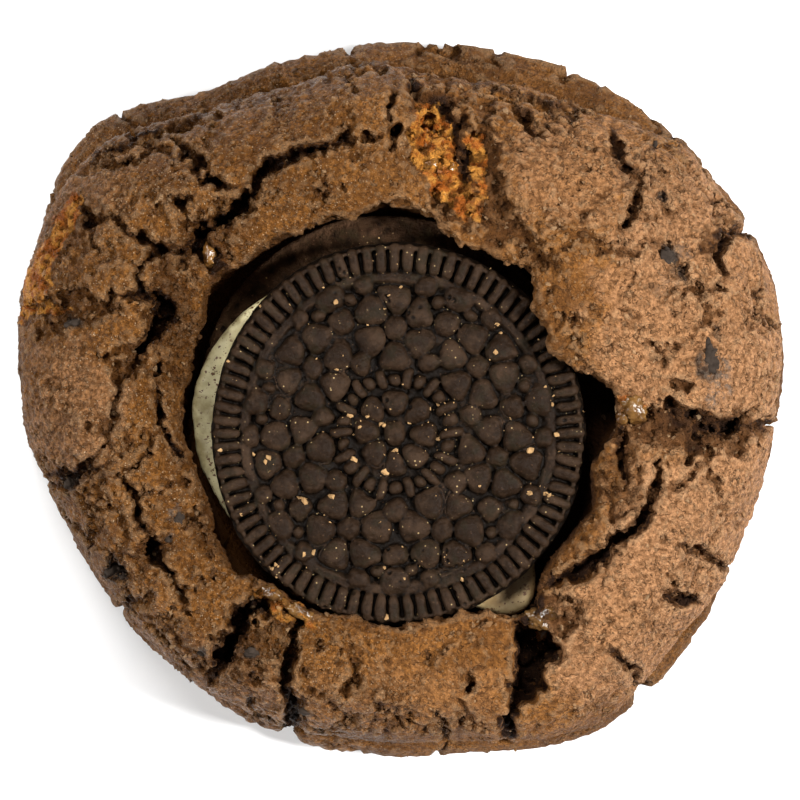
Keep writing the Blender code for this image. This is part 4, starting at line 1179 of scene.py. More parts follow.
sideLook = {
    "splitSway": ((4.0, 1.1), (1.1, 0.35)),  # size and reach
    "splitWall": 0.25,
    "splitStart": (31.0, 37.0),  # mm from the middle
    "swaySeed": 131,
    "wobble": (3.0, 1.0, 81),  # size, share and seed
    "fineWobble": (0.9, 0.4, 84),
    "wobbleReach": 1.3,
    "stretch": (1.0, 1.0, 0.62),  # makes the cracked plates taller than wide
    "plateSize": 9.5,
    "plateSeed": 91,
    "places": (15.0, -0.35, 0.25),  # size, and between which values of the noise they fade in
    "gap": (0.075, 0.05, 2.5),  # width, its change and the size of the spots where it changes
    "gapWall": 0.2,
    "depth": 1.9,
    "lean": (0.9, 0.6),  # upright part of the faces' normals between which the side cracks fade in
    "height": (0.4, 2.0),
    "planLean": (0.5, 0.15),  # and between which most of the plan's relief fades out
    "planLoss": 0.8,
    "planHeight": (4.0, 12.0),
    "carveLean": (0.85, 0.4),  # a flatter face is carved downwards, a steeper one along its normal
}
lipLook = {
    "deepest": 9.0,  # how far a crack lowers the top of the hollow's wall at most
    "jags": ((3.1, 0.75), (1.2, 0.6), (0.6, 0.35)),
    "jagSeed": 101,
    "outwards": 0.1,
    "inwards": ((265.0, 60.0, 0.55), (32.0, 26.0, 1.0)),  # angle, half width and reach
    "freeHeight": 22.8,  # the lip may lean over the sandwich only above this
    "wallHeight": (14.5, 16.5),
    "hollowEdge": (0.9, 0.1),
    "carveLoss": 0.6,  # how much of the cracks' depth is lost in the hollow, and how rough its wall is
    "wallRoughness": 0.7,
}


def splitDepth(points):
    x, y = points[..., 0] - planShift[0], points[..., 1] - planShift[1]
    angle, radius = np.degrees(np.arctan2(y, x)), np.hypot(x, y)
    sways = enumerate(sideLook["splitSway"])
    sway = sum(reach * grain(points, size, sideLook["swaySeed"] + k) for k, (size, reach) in sways)
    total = np.zeros_like(x)
    for at, half, depth in sideSplits:
        away = np.abs(np.radians((angle - at + 180.0) % 360.0 - 180.0) * radius + sway)
        total = np.maximum(total, depth * smoothStep(half, sideLook["splitWall"] * half, away))
    return total * smoothStep(*sideLook["splitStart"], radius)


def wobble(points, size, seed):  # a way to push each point
    return np.stack([grain(points, size, seed + axis) for axis in range(3)], axis=-1)


def sideCracks(points):  # depth of the upright, branching cracks round the dough's side
    look = sideLook
    warp = 0.0
    for size, portion, seed in (look["wobble"], look["fineWobble"]):
        warp = warp + portion * wobble(points, size, seed)
    seen = (points + look["wobbleReach"] * warp) * look["stretch"]
    near, after = cells(seen, look["plateSize"], look["plateSeed"])[:2]
    size, low, high = look["places"]
    strength = smoothStep(low, high, grain(points, size, look["plateSeed"] + 1))
    width, change, size = look["gap"]
    wide = width + change * grain(points, size, look["plateSeed"] + 2)
    branches = look["depth"] * strength * smoothStep(wide, look["gapWall"] * wide, after - near)
    return np.maximum(branches, splitDepth(points))


def sideShare(lean, height):  # how much of the side cracks a face takes
    return smoothStep(*sideLook["lean"], lean) * smoothStep(*sideLook["height"], height)


def upperShare(lean):  # how much of the plan's relief it takes: the upright sides take little
    return 1.0 - sideLook["planLoss"] * smoothStep(*sideLook["planLean"], lean)


def unitLength(ways):
    return ways / np.maximum(np.linalg.norm(ways, axis=-1, keepdims=True), 1e-9)


def lipJag(grid, degrees, wall):  # how far each point of the hollow's wall is pushed out
    look, height = lipLook, grid[..., 2]
    jags = enumerate(look["jags"])
    jag = sum(reach * grain(grid, size, look["jagSeed"] + k) for k, (size, reach) in jags)
    jag = jag + look["outwards"]
    for angle, half, reach in look["inwards"]:
        jag = jag - reach * hump(degrees, angle, half)
    jag = np.where(height > look["freeHeight"], jag, np.maximum(jag, 0.0))
    return jag * wall * smoothStep(*look["wallHeight"], height)


def crackedDough(plan):
    grid, wall, degrees = smoothDough()
    along = np.roll(grid, -1, axis=1) - np.roll(grid, 1, axis=1)
    normal = unitLength(np.cross(along, np.gradient(grid, axis=0)))
    lean, height = normal[..., 2], grid[..., 2]
    outside = wall < 0.5
    steep = smoothStep(*sideLook["carveLean"], lean)
    downward = np.zeros_like(normal)
    downward[..., 2] = -1.0
    inwards = unitLength(downward * (1.0 - steep)[..., None] - normal * steep[..., None])
    topCarve = readPlan(plan["carve"], grid) + readPlan(plan["plates"], grid)
    carve = topCarve * np.where(outside, upperShare(lean), 0.0)
    carve = carve * smoothStep(*sideLook["planHeight"], height)
    carve = np.maximum(carve, sideCracks(grid) * (sideShare(lean, height) * outside))
    moved = grid + inwards * carve[..., None]
    # the hollow's wall ends where a crack has taken its top away, and is ragged
    lipRow = int(np.argmax(wall[:, 0] >= 0.99))
    ceiling = grid[lipRow, :, 2] - np.minimum(topCarve[lipRow], lipLook["deepest"])
    moved[lipRow:, :, 2] = np.minimum(moved[lipRow:, :, 2], ceiling)
    jag = lipJag(grid, degrees, wall)
    moved[..., 0] += np.cos(np.radians(degrees)) * jag
    moved[..., 1] += np.sin(np.radians(degrees)) * jag
    return gridMesh("bakedDough", moved)


def hollowShare(points):  # 1 inside the hollow round the sandwich, 0 on the crust
    x = points[..., 0] - planShift[0] - sandwichPlace[0]
    y = points[..., 1] - planShift[1] - sandwichPlace[1]
    away = np.hypot(x, y) - around(doughShape["lipRadii"], np.degrees(np.arctan2(y, x)))
    return smoothStep(*lipLook["hollowEdge"], away)


def crustFields(points, normals, plan):  # how deep each point is carved, how broken it is, and the hollow
    hollow = hollowShare(points)
    lean, height = normals[:, 2], points[:, 2]
    above = smoothStep(*sideLook["planHeight"], height)
    carve = readPlan(plan["carve"], points) * above * upperShare(lean)
    carve = carve * (1.0 - lipLook["carveLoss"] * hollow)
    carve = np.maximum(carve, sideCracks(points) * (sideShare(lean, height) * (1.0 - hollow)))
    rough = np.maximum(readPlan(plan["rough"], points) * above, lipLook["wallRoughness"] * hollow)
    return carve, rough, hollow


def cavityShare(mesh, spread):  # 0.5 on even ground, towards 1 in a dip and 0 on a peak
    edges = np.empty(len(mesh.edges) * 2, np.int32)
    mesh.edges.foreach_get("vertices", edges)
    a, b = edges[::2], edges[1::2]
    points, normals = readPoints(mesh), readNormals(mesh)
    count = np.bincount(a, minlength=len(points)) + np.bincount(b, minlength=len(points))
    dip = np.zeros(len(points))
    for axis in range(3):
        gap = points[b, axis] - points[a, axis]
        pull = np.bincount(a, gap, len(points)) - np.bincount(b, gap, len(points))
        dip += pull * normals[:, axis]
    dip /= np.maximum(count, 1)
    for _ in range(2):  # smoothed twice
        total = np.bincount(a, dip[b], len(points)) + np.bincount(b, dip[a], len(points))
        dip = 0.5 * dip + 0.5 * total / np.maximum(count, 1)
    return 0.5 + dip / spread


doughGrain = {
    "brokenFrom": (0.2, 1.2),  # depth of carving between which the dough counts as broken
    "swell": {"size": 5.0, "seed": 111, "layers": 2},
    "swellHeight": 0.32,
    "lump": {"size": 1.9, "seed": 115, "layers": 3, "keep": 0.75},
    "lumpHeight": 0.16,
    "nudge": {"size": 0.8, "seed": 118},
    "nudgeReach": 0.35,
    "crumb": {"size": 1.4, "seed": 121},
    "crumbHeight": 0.95,
    "crumbMiddle": 0.52,
    "granule": {"size": 0.75, "seed": 125},
    "granuleHeights": (0.22, 0.16, 0.38),  # everywhere, more on the sugared side and more where broken
    "granuleMiddle": 0.5,
    "sugaredSide": (10.0, -14.0),
    "sand": {"size": 0.5, "seed": 127},
    "sandHeights": (0.13, 0.1),  # everywhere, and more where broken
    "fromBase": (0.05, 1.2),  # the flat base stays smooth
    "hollowLoss": 0.25,
    "wallTop": 24.0,  # below this the hollow's wall mayn't rise more than wallRise
    "wallRise": 0.15,
}
doughThin = {  # where the mesh may be coarser
    "base": (1.0, 0.2),
    "hollow": (20.0, 17.0),
    "foot": (8.0, 4.0),
    "everywhere": 0.08,
    "footMore": 0.37,
}
doughShade = {
    "hollow": (0.42, 0.33, 0.0, 100.0),  # painted shade round the hollow: its darkness, and how much more at which angle, with its half width
    "hollowHeight": (25.5, 22.5),
    "crackDepth": 3.2,  # mm at which a crack is darkest
    "patchHeight": (6.0, 12.0),
    "cavitySpread": 0.22,
    "crumbEdges": ((0.08, 0.4), (3.4, 1.6)),  # depth of carving where loose crumbs begin and end
    "crumbBroken": 0.55,
    "crumbHeight": (20.0, 23.0),
    "crumbLeast": 0.03,
    "grainHeight": (2.0, 5.0),
}


def roughenDough(mesh, plan):
    look = doughGrain
    points, normals = readPoints(mesh), readNormals(mesh)
    carve, rough, hollow = crustFields(points, normals, plan)
    height = points[:, 2]
    broken = np.clip(np.maximum(smoothStep(*look["brokenFrom"], carve), rough), 0.0, 1.0)
    lift = look["swellHeight"] * layeredGrain(points, **look["swell"])
    lift = lift + look["lumpHeight"] * layeredGrain(points, **look["lump"])
    nudged = points + look["nudgeReach"] * wobble(points, **look["nudge"])
    lift += look["crumbHeight"] * broken * (look["crumbMiddle"] - cells(nudged, **look["crumb"])[0])
    sugared = smoothStep(*look["sugaredSide"], points[:, 0])
    plain, sugaredMore, brokenMore = look["granuleHeights"]
    granules = look["granuleMiddle"] - cells(nudged, **look["granule"])[0]
    lift += (plain + sugaredMore * sugared + brokenMore * broken) * granules
    plain, brokenMore = look["sandHeights"]
    lift += (plain + brokenMore * broken) * grain(points, **look["sand"])
    lift *= smoothStep(*look["fromBase"], height)
    lift *= 1.0 - look["hollowLoss"] * hollow
    onWall = hollow * (height < look["wallTop"]) > 0.5
    lift = np.where(onWall, np.minimum(lift, look["wallRise"]), lift)
    movePoints(mesh, points + normals * lift[:, None])


def storeDoughShares(mesh, plan):  # what the crust's finish and the crumbs read
    look = doughShade
    points = readPoints(mesh)
    carve, rough, hollow = crustFields(points, readNormals(mesh), plan)
    height = points[:, 2]
    angle = np.degrees(np.arctan2(points[:, 1] - sandwichPlace[1], points[:, 0] - sandwichPlace[0]))
    # painted shade round the hollow, partly the darker crumb there; it is stored with the cracks' depth in
    # crack
    dark, darker, at, half = look["hollow"]
    shade = (dark + darker * hump(angle, at, half)) * hollow * smoothStep(*look["hollowHeight"], height)
    storeShare(mesh, "crack", np.maximum(carve / look["crackDepth"], shade))
    storeShare(mesh, "rough", rough)
    above = smoothStep(*look["patchHeight"], height)
    for name in ("caramel", "dust", "chunk", "paleAndLit"):
        storeShare(mesh, name, readPlan(plan[name], points) * above)
    storeShare(mesh, "cavity", cavityShare(mesh, look["cavitySpread"]))
    begin, stop = look["crumbEdges"]
    edges = smoothStep(*begin, carve) * smoothStep(*stop, carve)
    crumbly = np.maximum(edges, look["crumbBroken"] * rough) * above
    crumbly = crumbly * smoothStep(*look["crumbHeight"], height + 12.0 * (1.0 - hollow))
    storeShare(mesh, "crumbShare", look["crumbLeast"] + crumbly)
    grains = (1.0 - hollow) * smoothStep(*look["grainHeight"], height) * (1.0 - 0.5 * crumbly)
    storeShare(mesh, "grainShare", grains)


def makeDough(plan, material):
    piece = addPiece("bakedDough", crackedDough(plan))
    mesh = remesh(piece, doughShape["voxel"])
    print("dough remeshed:", len(mesh.polygons), "faces")
    roughenDough(mesh, plan)
    points = readPoints(mesh)
    height = points[:, 2]
    hollow = hollowShare(points) * smoothStep(*doughThin["hollow"], height)
    unseen = np.maximum(smoothStep(*doughThin["base"], height), hollow)
    foot = doughThin["everywhere"] + doughThin["footMore"] * smoothStep(*doughThin["foot"], height)
    mesh = thin(piece, doughShape["triangles"], np.maximum(unseen, foot))
    storeDoughShares(mesh, plan)
    paint(mesh, material)
    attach(piece, "root")
    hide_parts("dough")
    print("dough done:", len(mesh.polygons), "faces")
    return piece


def startTree(name, inputs):
    tree = bpy.data.node_groups.new(name, "GeometryNodeTree")
    tree.interface.new_socket("Geometry", in_out="INPUT", socket_type="NodeSocketGeometry")
    tree.interface.new_socket("Geometry", in_out="OUTPUT", socket_type="NodeSocketGeometry")
    kinds = {int: "NodeSocketInt", float: "NodeSocketFloat"}
    for label, value in inputs.items():
        socket = tree.interface.new_socket(label, in_out="INPUT", socket_type=kinds[type(value)])
        socket.default_value = value
    given = tree.nodes.new("NodeGroupInput").outputs
    return tree, given


def endTree(tree, geometry, material):
    real = addNode(tree, "GeometryNodeRealizeInstances", {0: geometry})
    painted = addNode(tree, "GeometryNodeSetMaterial", {0: real.outputs[0], "Material": material})
    end = tree.nodes.new("NodeGroupOutput")
    tree.links.new(painted.outputs[0], end.inputs[0])


def runTree(piece, tree, values):
    step = piece.modifiers.new("nodes", "NODES")
    step.node_group = tree
    names = {item.name: item.identifier for item in tree.interface.items_tree if item.in_out == "INPUT"}
    for label, value in values.items():
        step[names[label]] = value
    return settle(piece)


def pillowNodes(tree, length, width, height, squareness, sides, widening=0.0):  # a raised pad, half sunk
    ball = addNode(tree, "GeometryNodeMeshUVSphere", {"Segments": sides, "Rings": 8, "Radius": 1.0})
    spot = addNode(tree, "GeometryNodeInputPosition").outputs[0]
    apart = addNode(tree, "ShaderNodeSeparateXYZ", {0: spot})
    parts = []
    for axis in range(3):
        size = maths(tree, "POWER", maths(tree, "ABSOLUTE", apart.outputs[axis]), squareness)
        parts.append(maths(tree, "MULTIPLY", size, maths(tree, "SIGN", apart.outputs[axis])))
    if widening:
        parts[1] = maths(tree, "MULTIPLY", parts[1], maths(tree, "MULTIPLY_ADD", parts[0], widening, 1.0))
    boxed = addNode(tree, "ShaderNodeCombineXYZ", {0: parts[0], 1: parts[1], 2: parts[2]})
    values = {0: ball.outputs["Mesh"], "Position": boxed.outputs[0]}
    moved = addNode(tree, "GeometryNodeSetPosition", values)
    halves = {0: times(tree, length, 0.5), 1: times(tree, width, 0.5), 2: height}
    scale = addNode(tree, "ShaderNodeCombineXYZ", halves)
    sized = addNode(tree, "GeometryNodeTransform", {0: moved.outputs[0], "Scale": scale.outputs[0]})
    return sized.outputs[0]


def ringNodes(tree, count, radius, shape, start=0.0):  # shape repeated round a ring, each turned outwards
    circle = addNode(tree, "GeometryNodeMeshCircle", {"Vertices": count, "Radius": radius})
    values = {0: circle.outputs[0], "Rotation": (0.0, 0.0, math.radians(start))}
    turned = addNode(tree, "GeometryNodeTransform", values)
    spots = addNode(tree, "GeometryNodeMeshToPoints", {0: turned.outputs[0]})
    outward = addNode(tree, "GeometryNodeInputPosition").outputs[0]
    facing = addNode(tree, "FunctionNodeAlignRotationToVector", {"Vector": outward}, axis="X")
    values = {0: spots.outputs[0], "Instance": shape, "Rotation": facing.outputs[0]}
    return addNode(tree, "GeometryNodeInstanceOnPoints", values).outputs[0]


def joinNodes(tree, *parts):
    joined = addNode(tree, "GeometryNodeJoinGeometry")
    for part in parts:
        tree.links.new(part, joined.inputs[0])
    return joined.outputs[0]


waferShape = {
    "radius": 22.0,
    "groundDrop": 0.62,  # how much lower than the solid's the ground between the pads lies
    "plateDrop": 0.6,  # how far the pads stand above the plate
    "rimRound": 0.3,
    "ribInset": 0.1,
    "steps": 240,
    # inset and rise of the rings of points that cross the rim, from the edge inwards
    "bands": ((0.35, 0.0), (0.4, 0.7), (0.75, 0.8), (1.0, 0.0),
              (3.2, 0.0), (3.6, 0.6), (4.3, 0.66), (4.9, 0.0)),
    "groundSwell": 0.42,  # how far the ground between the pads rises in places
    "Rib Count": 80,
    "Rib Length": 3.4,
    "Rib Width": 1.26,
    "Relief Height": 1.3,
    "Rosette Count": 7,
    "Ring Radius": 12.3,
    "Petal Count": 6,
    "Petal Reach": 3.15,
    "Petal Length": 3.6,
    "Petal Width": 3.42,
    "Bud Size": 2.85,
    "Centre Petals": 8,
    "Centre Reach": 3.4,
    "Leaf Radius": 17.0,
    "Dash Radius": 6.5,
    "voxel": 0.135,
    "triangles": 190000,
    "roughness": (0.18, 201),  # height and seed
    "cavitySpread": 0.10,
}
waferBend = {
    "worn": (0.042, 178.0, 75.0),  # share of the radius that is lost, middle angle and half width
    "shakes": ((3.4, 0.26, 231), (1.3, 0.12, 235)),  # size, reach and seed
    "rimShare": 0.25,  # how much of the shake the ribbed rim gets
    "inside": (21.8, 17.5),
    "padSwell": (2.4, 0.16, 239),
    "groundSwell": (2.4, 243),
    "groundBand": ((0.0, -0.35), (-1.2, -0.8)),  # heights from the plate's top
    "groundStart": (0.2, 0.7),
    "groundEdge": (18.4, 17.4),
}
# each kind of pad: input and share for its length and for its width, squareness, sides and widening
padKinds = {
    "rib": (("Rib Length", 1.0), ("Rib Width", 1.0), 0.62, 12, 0.0),
    "petal": (("Petal Length", 1.0), ("Petal Width", 1.0), 0.84, 16, 0.38),
    "smallPetal": (("Petal Length", 0.86), ("Petal Width", 0.8), 0.84, 16, 0.3),
    "leaf": (("Petal Length", 0.85), ("Petal Width", 1.12), 0.84, 16, 0.15),
    "bud": (("Bud Size", 1.0), ("Bud Size", 1.0), 0.92, 12, 0.0),
    "dash": (("Rib Length", 0.8), ("Rib Width", 0.95), 0.7, 10, 0.0),
}
# radius, turn from the rosette's axis, length, width, squareness and widening of the gap fillers
fillerPads = (
    (6.3, 0.0, 1.5, 1.5, 0.86, 0.1), (6.4, 25.7, 1.8, 1.5, 0.86, 0.1),
    (8.95, 25.7, 2.8, 2.7, 0.84, 0.3), (14.05, 25.7, 2.8, 2.95, 0.84, 0.15),
    (17.3, 11.6, 2.4, 2.6, 0.84, 0.0), (17.3, -11.6, 2.4, 2.6, 0.84, 0.0),
    (16.0, 18.6, 1.5, 1.6, 0.9, 0.0), (16.0, -18.6, 1.5, 1.6, 0.9, 0.0),
)
plateTop = waferHigh.z / mm - waferShape["plateDrop"]


def reliefTree(material):
    inputs = {label: value for label, value in waferShape.items() if label[0].isupper()}
    tree, given = startTree("waferRelief", inputs)

    def size(label, portion=1.0):
        return maths(tree, "MULTIPLY", given[label], portion * mm)

    height = size("Relief Height")
    pads = {}
    for name, (length, width, squareness, sides, widening) in padKinds.items():
        pads[name] = pillowNodes(tree, size(*length), size(*width), height, squareness, sides, widening)
    ribRadius = waferShape["radius"] - waferShape["ribInset"] - 0.5 * waferShape["Rib Length"]
    ribs = ringNodes(tree, given["Rib Count"], ribRadius * mm, pads["rib"])
    petals = ringNodes(tree, given["Petal Count"], size("Petal Reach"), pads["petal"])
    rosette = joinNodes(tree, petals, pads["bud"])
    count = given["Rosette Count"]
    rosettes = ringNodes(tree, count, size("Ring Radius"), rosette, 90.0)
    petals = ringNodes(tree, given["Centre Petals"], size("Centre Reach"), pads["smallPetal"])
    heart = joinNodes(tree, petals, pads["bud"])
    half = 180.0 / waferShape["Rosette Count"]
    leaves = ringNodes(tree, count, size("Leaf Radius"), pads["leaf"], 90.0 + half)
    dashes = [ringNodes(tree, count, size("Dash Radius"), pads["dash"], 90.0 + turn * half)
              for turn in (0.5, 1.5)]
    fillers = []
    for radius, turn, length, width, roundness, widening in fillerPads:
        pad = pillowNodes(tree, length * mm, width * mm, height, roundness, 12, widening)
        fillers.append(ringNodes(tree, count, radius * mm, pad, 90.0 + turn))
    relief = joinNodes(tree, ribs, rosettes, heart, leaves, *dashes, *fillers)
    ground = plateTop - waferShape["groundDrop"]
    centre = [(waferLow.x + waferHigh.x) / 2, (waferLow.y + waferHigh.y) / 2, ground * mm]
    placed = addNode(tree, "GeometryNodeTransform", {0: relief, "Translation": centre})
    endTree(tree, joinNodes(tree, placed.outputs[0], given["Geometry"]), material)
    return tree, inputs


def discMesh(name, centre, low, high, radius, edge, bands=(), rows=6):  # a slab with round rims
    degrees = np.linspace(0.0, 360.0, len(radius), endpoint=False)
    rings = [(0.02, 0.0, low), (0.5, 0.0, low)]
    for turn in np.linspace(0.0, 90.0, rows):
        c, s = math.cos(math.radians(turn)), math.sin(math.radians(turn))
        rings.append((1.0, -edge * (1 - s), low + edge * (1 - c)))
    for turn in np.linspace(0.0, 90.0, rows):
        c, s = math.cos(math.radians(turn)), math.sin(math.radians(turn))
        rings.append((1.0, -edge * (1 - c), high - edge * (1 - s)))
    rings += [(1.0, -edge - inset, high + raised) for inset, raised in bands]
    rings += [(0.5, 0.0, high), (0.02, 0.0, high)]
    grid = []
    for scale, inset, height in rings:
        reach = radius * scale + inset
        x = centre[0] + reach * np.cos(np.radians(degrees))
        y = centre[1] + reach * np.sin(np.radians(degrees))
        grid.append(np.stack([x, y, np.full_like(x, height)], axis=-1))
    return gridMesh(name, np.array(grid))


def bendWafer(mesh, centre):  # a wafer that is not quite round, with pads that are not quite alike
    look = waferBend
    points = readPoints(mesh)
    x, y = points[:, 0] - centre[0], points[:, 1] - centre[1]
    loss, middle, half = look["worn"]
    worn = 1.0 - loss * hump(np.degrees(np.arctan2(y, x)), middle, half)
    inside = smoothStep(*look["inside"], np.hypot(x, y))
    portion = look["rimShare"] + (1.0 - look["rimShare"]) * inside
    for axis in range(2):
        flat = points * (1.0, 1.0, 0.0)
        shake = sum(reach * grain(flat, size, seed + axis) for size, reach, seed in look["shakes"])
        points[:, axis] = centre[axis] + (x, y)[axis] * worn + shake * portion
    flat = points * (1.0, 1.0, 0.0)
    size, rise, seed = look["padSwell"]
    pads = smoothStep(plateTop - waferShape["plateDrop"], plateTop, points[:, 2])
    points[:, 2] += rise * grain(flat, size, seed) * pads
    ground = 1.0
    for start, stop in look["groundBand"]:
        ground = ground * smoothStep(plateTop + start, plateTop + stop, points[:, 2])
    size, seed = look["groundSwell"]
    swell = smoothStep(*look["groundStart"], grain(flat, size, seed))
    swell = swell * smoothStep(*look["groundEdge"], np.hypot(x, y))
    points[:, 2] += waferShape["groundSwell"] * swell * ground
    movePoints(mesh, points)


waferGrain = {
    "lumps": ((2.6, 0.5), (0.9, 0.3), (0.45, 0.25)),  # size and height
    "pitSize": 1.7,
    "pitEdge": (0.25, 0.1),
    "pitPlaces": (6.0, 0.1, 0.5),  # size, and between which values of the noise they fade in
    "pitDepth": 1.6,
}


def roughenWafer(mesh, amount, seed):
    look = waferGrain
    points, normals = readPoints(mesh), readNormals(mesh)
    lift = sum(height * grain(points, size, seed + k) for k, (size, height) in enumerate(look["lumps"]))
    near = cells(points, look["pitSize"], seed + 3)[0]
    size, low, high = look["pitPlaces"]
    pits = smoothStep(*look["pitEdge"], near) * smoothStep(low, high, grain(points, size, seed + 4))
    movePoints(mesh, points + normals * (amount * (lift - look["pitDepth"] * pits))[:, None])


def makeUpperWafer(material):
    shape = waferShape
    centre = sandwichPlace + planShift
    radius = np.full(shape["steps"], shape["radius"])
    ground = plateTop - shape["groundDrop"]
    bands = [(inset - shape["rimRound"], raised) for inset, raised in shape["bands"]]
    plate = discMesh("upperWafer", centre, waferLow.z / mm, ground, radius, shape["rimRound"], bands)
    piece = addPiece("upperWafer", plate)
    tree, inputs = reliefTree(material)
    runTree(piece, tree, inputs)
    mesh = remesh(piece, shape["voxel"])
    bendWafer(mesh, centre)
    roughenWafer(mesh, *shape["roughness"])
    thinness = 0.2 + 0.8 * smoothStep(plateTop - 0.8, plateTop - 1.6, readPoints(mesh)[:, 2])
    mesh = thin(piece, shape["triangles"], thinness)
    storeShare(mesh, "cavity", cavityShare(mesh, shape["cavitySpread"]))
    paint(mesh, material)
    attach(piece, "root")
    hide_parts("upper_wafer")
    print("upper wafer done:", len(mesh.polygons), "faces")
    return piece


backWafer = {
    "steps": 300,
    "rimRound": 0.5,
    "voxel": 0.3,
    "triangles": 40000,
    "roughness": (0.26, 221),
    "cavitySpread": 0.12,
}


def makeLowerWafer(material):
    shape = backWafer
    low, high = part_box("lower_wafer")
    centre = ((low.x + high.x) / 2 / mm, (low.y + high.y) / 2 / mm)
    radius = np.full(shape["steps"], waferShape["radius"])
    mesh = discMesh("lowerWafer", centre, low.z / mm, high.z / mm, radius, shape["rimRound"])
    piece = addPiece("lowerWafer", mesh)
    mesh = remesh(piece, shape["voxel"])
    roughenWafer(mesh, *shape["roughness"])
    mesh = thin(piece, shape["triangles"])
    storeShare(mesh, "cavity", cavityShare(mesh, shape["cavitySpread"]))
    paint(mesh, material)
    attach(piece, "root")
    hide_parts("lower_wafer")
    print("lower wafer done")
    return piece


creamShape = {
    "steps": 360,
    "rimRound": 0.8,
    "voxel": 0.25,
    "triangles": 50000,
    "folds": (3.0, 0.25, 241),  # size, height and seed
    "grains": (0.8, 0.08, 245),
    "roughFrom": (18.0, 21.5),
    "soiledAndShadedAngle": (-52.0, 24.0),  # where crumbs of dough stick to it and painted shade darkens the tongue
    "soiledAndShadedFrom": (20.5, 22.5),
}


def makeCreamLayer(material):
    shape = creamShape
    low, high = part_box("cream")
    centre = sandwichPlace + planShift
    radius = creamRadius(np.linspace(0.0, 360.0, shape["steps"], endpoint=False))
    mesh = discMesh("creamLayer", centre, low.z / mm, high.z / mm, radius, shape["rimRound"])
    piece = addPiece("creamLayer", mesh)
    mesh = remesh(piece, shape["voxel"])
    points, normals = readPoints(mesh), readNormals(mesh)
    away = np.hypot(points[:, 0] - centre[0], points[:, 1] - centre[1])
    size, height, seed = shape["folds"]
    lift = height * layeredGrain(points, size, seed)
    size, height, seed = shape["grains"]
    lift = (lift + height * grain(points, size, seed)) * smoothStep(*shape["roughFrom"], away)
    movePoints(mesh, points + normals * lift[:, None])
    mesh = thin(piece, shape["triangles"])
    points = readPoints(mesh)
    x, y = points[:, 0] - centre[0], points[:, 1] - centre[1]
    # the tongue's crumbs and painted shade
    tongue = hump(np.degrees(np.arctan2(y, x)), *shape["soiledAndShadedAngle"]) ** 0.5
    storeShare(mesh, "soiledAndShaded", tongue * smoothStep(*shape["soiledAndShadedFrom"], np.hypot(x, y)))
    paint(mesh, material)
    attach(piece, "root")
    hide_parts("cream")
    print("cream done")
    return piece


crumbSets = {
    "waferCrumbs": {"Density": 800000.0, "Smallest": 0.05, "Largest": 0.55, "Seed": 5, "Unevenness": 0.7,
                    "Patch Size": 4.0, "Sink": 0.0, "Evenness": 0.02, "Rarity": 9.0},
    "crackCrumbs": {"Density": 4500000.0, "Smallest": 0.12, "Largest": 0.44, "Seed": 8, "Unevenness": 0.8,
                    "Patch Size": 6.0, "Sink": 0.1, "Evenness": 0.3, "Rarity": 2.0},
    "crustGrains": {"Density": 5200000.0, "Smallest": 0.09, "Largest": 0.26, "Seed": 12, "Unevenness": 0.5,
                    "Patch Size": 5.0, "Sink": 0.45, "Evenness": 0.15, "Rarity": 1.0},
}


crumbShape = {
    "stretch": ((0.8, 1.5), (0.7, 1.2), (0.55, 0.95)),  # along, across and up
    "turn": ((0.0, math.tau),) * 3,
    "dentSize": 0.35,
    "leastUp": 0.3,  # none stick to a face steeper than this
    "patches": (0.5, 0.68),
}


def randomShare(tree, low, high, seed):  # a number for each instance
    made = addNode(tree, "FunctionNodeRandomValue", {"Seed": seed}, data_type="FLOAT")
    for label, value in (("Min", low), ("Max", high)):
        socket = [one for one in made.inputs if one.name == label and one.type == "VALUE"][0]
        if isinstance(value, bpy.types.NodeSocket):
            tree.links.new(value, socket)
        else:
            socket.default_value = value
    return [one for one in made.outputs if one.type == "VALUE"][0]


def randomThree(tree, ranges, seed):
    parts = {k: randomShare(tree, low, high, seed + k) for k, (low, high) in enumerate(ranges)}
    return addNode(tree, "ShaderNodeCombineXYZ", parts).outputs[0]


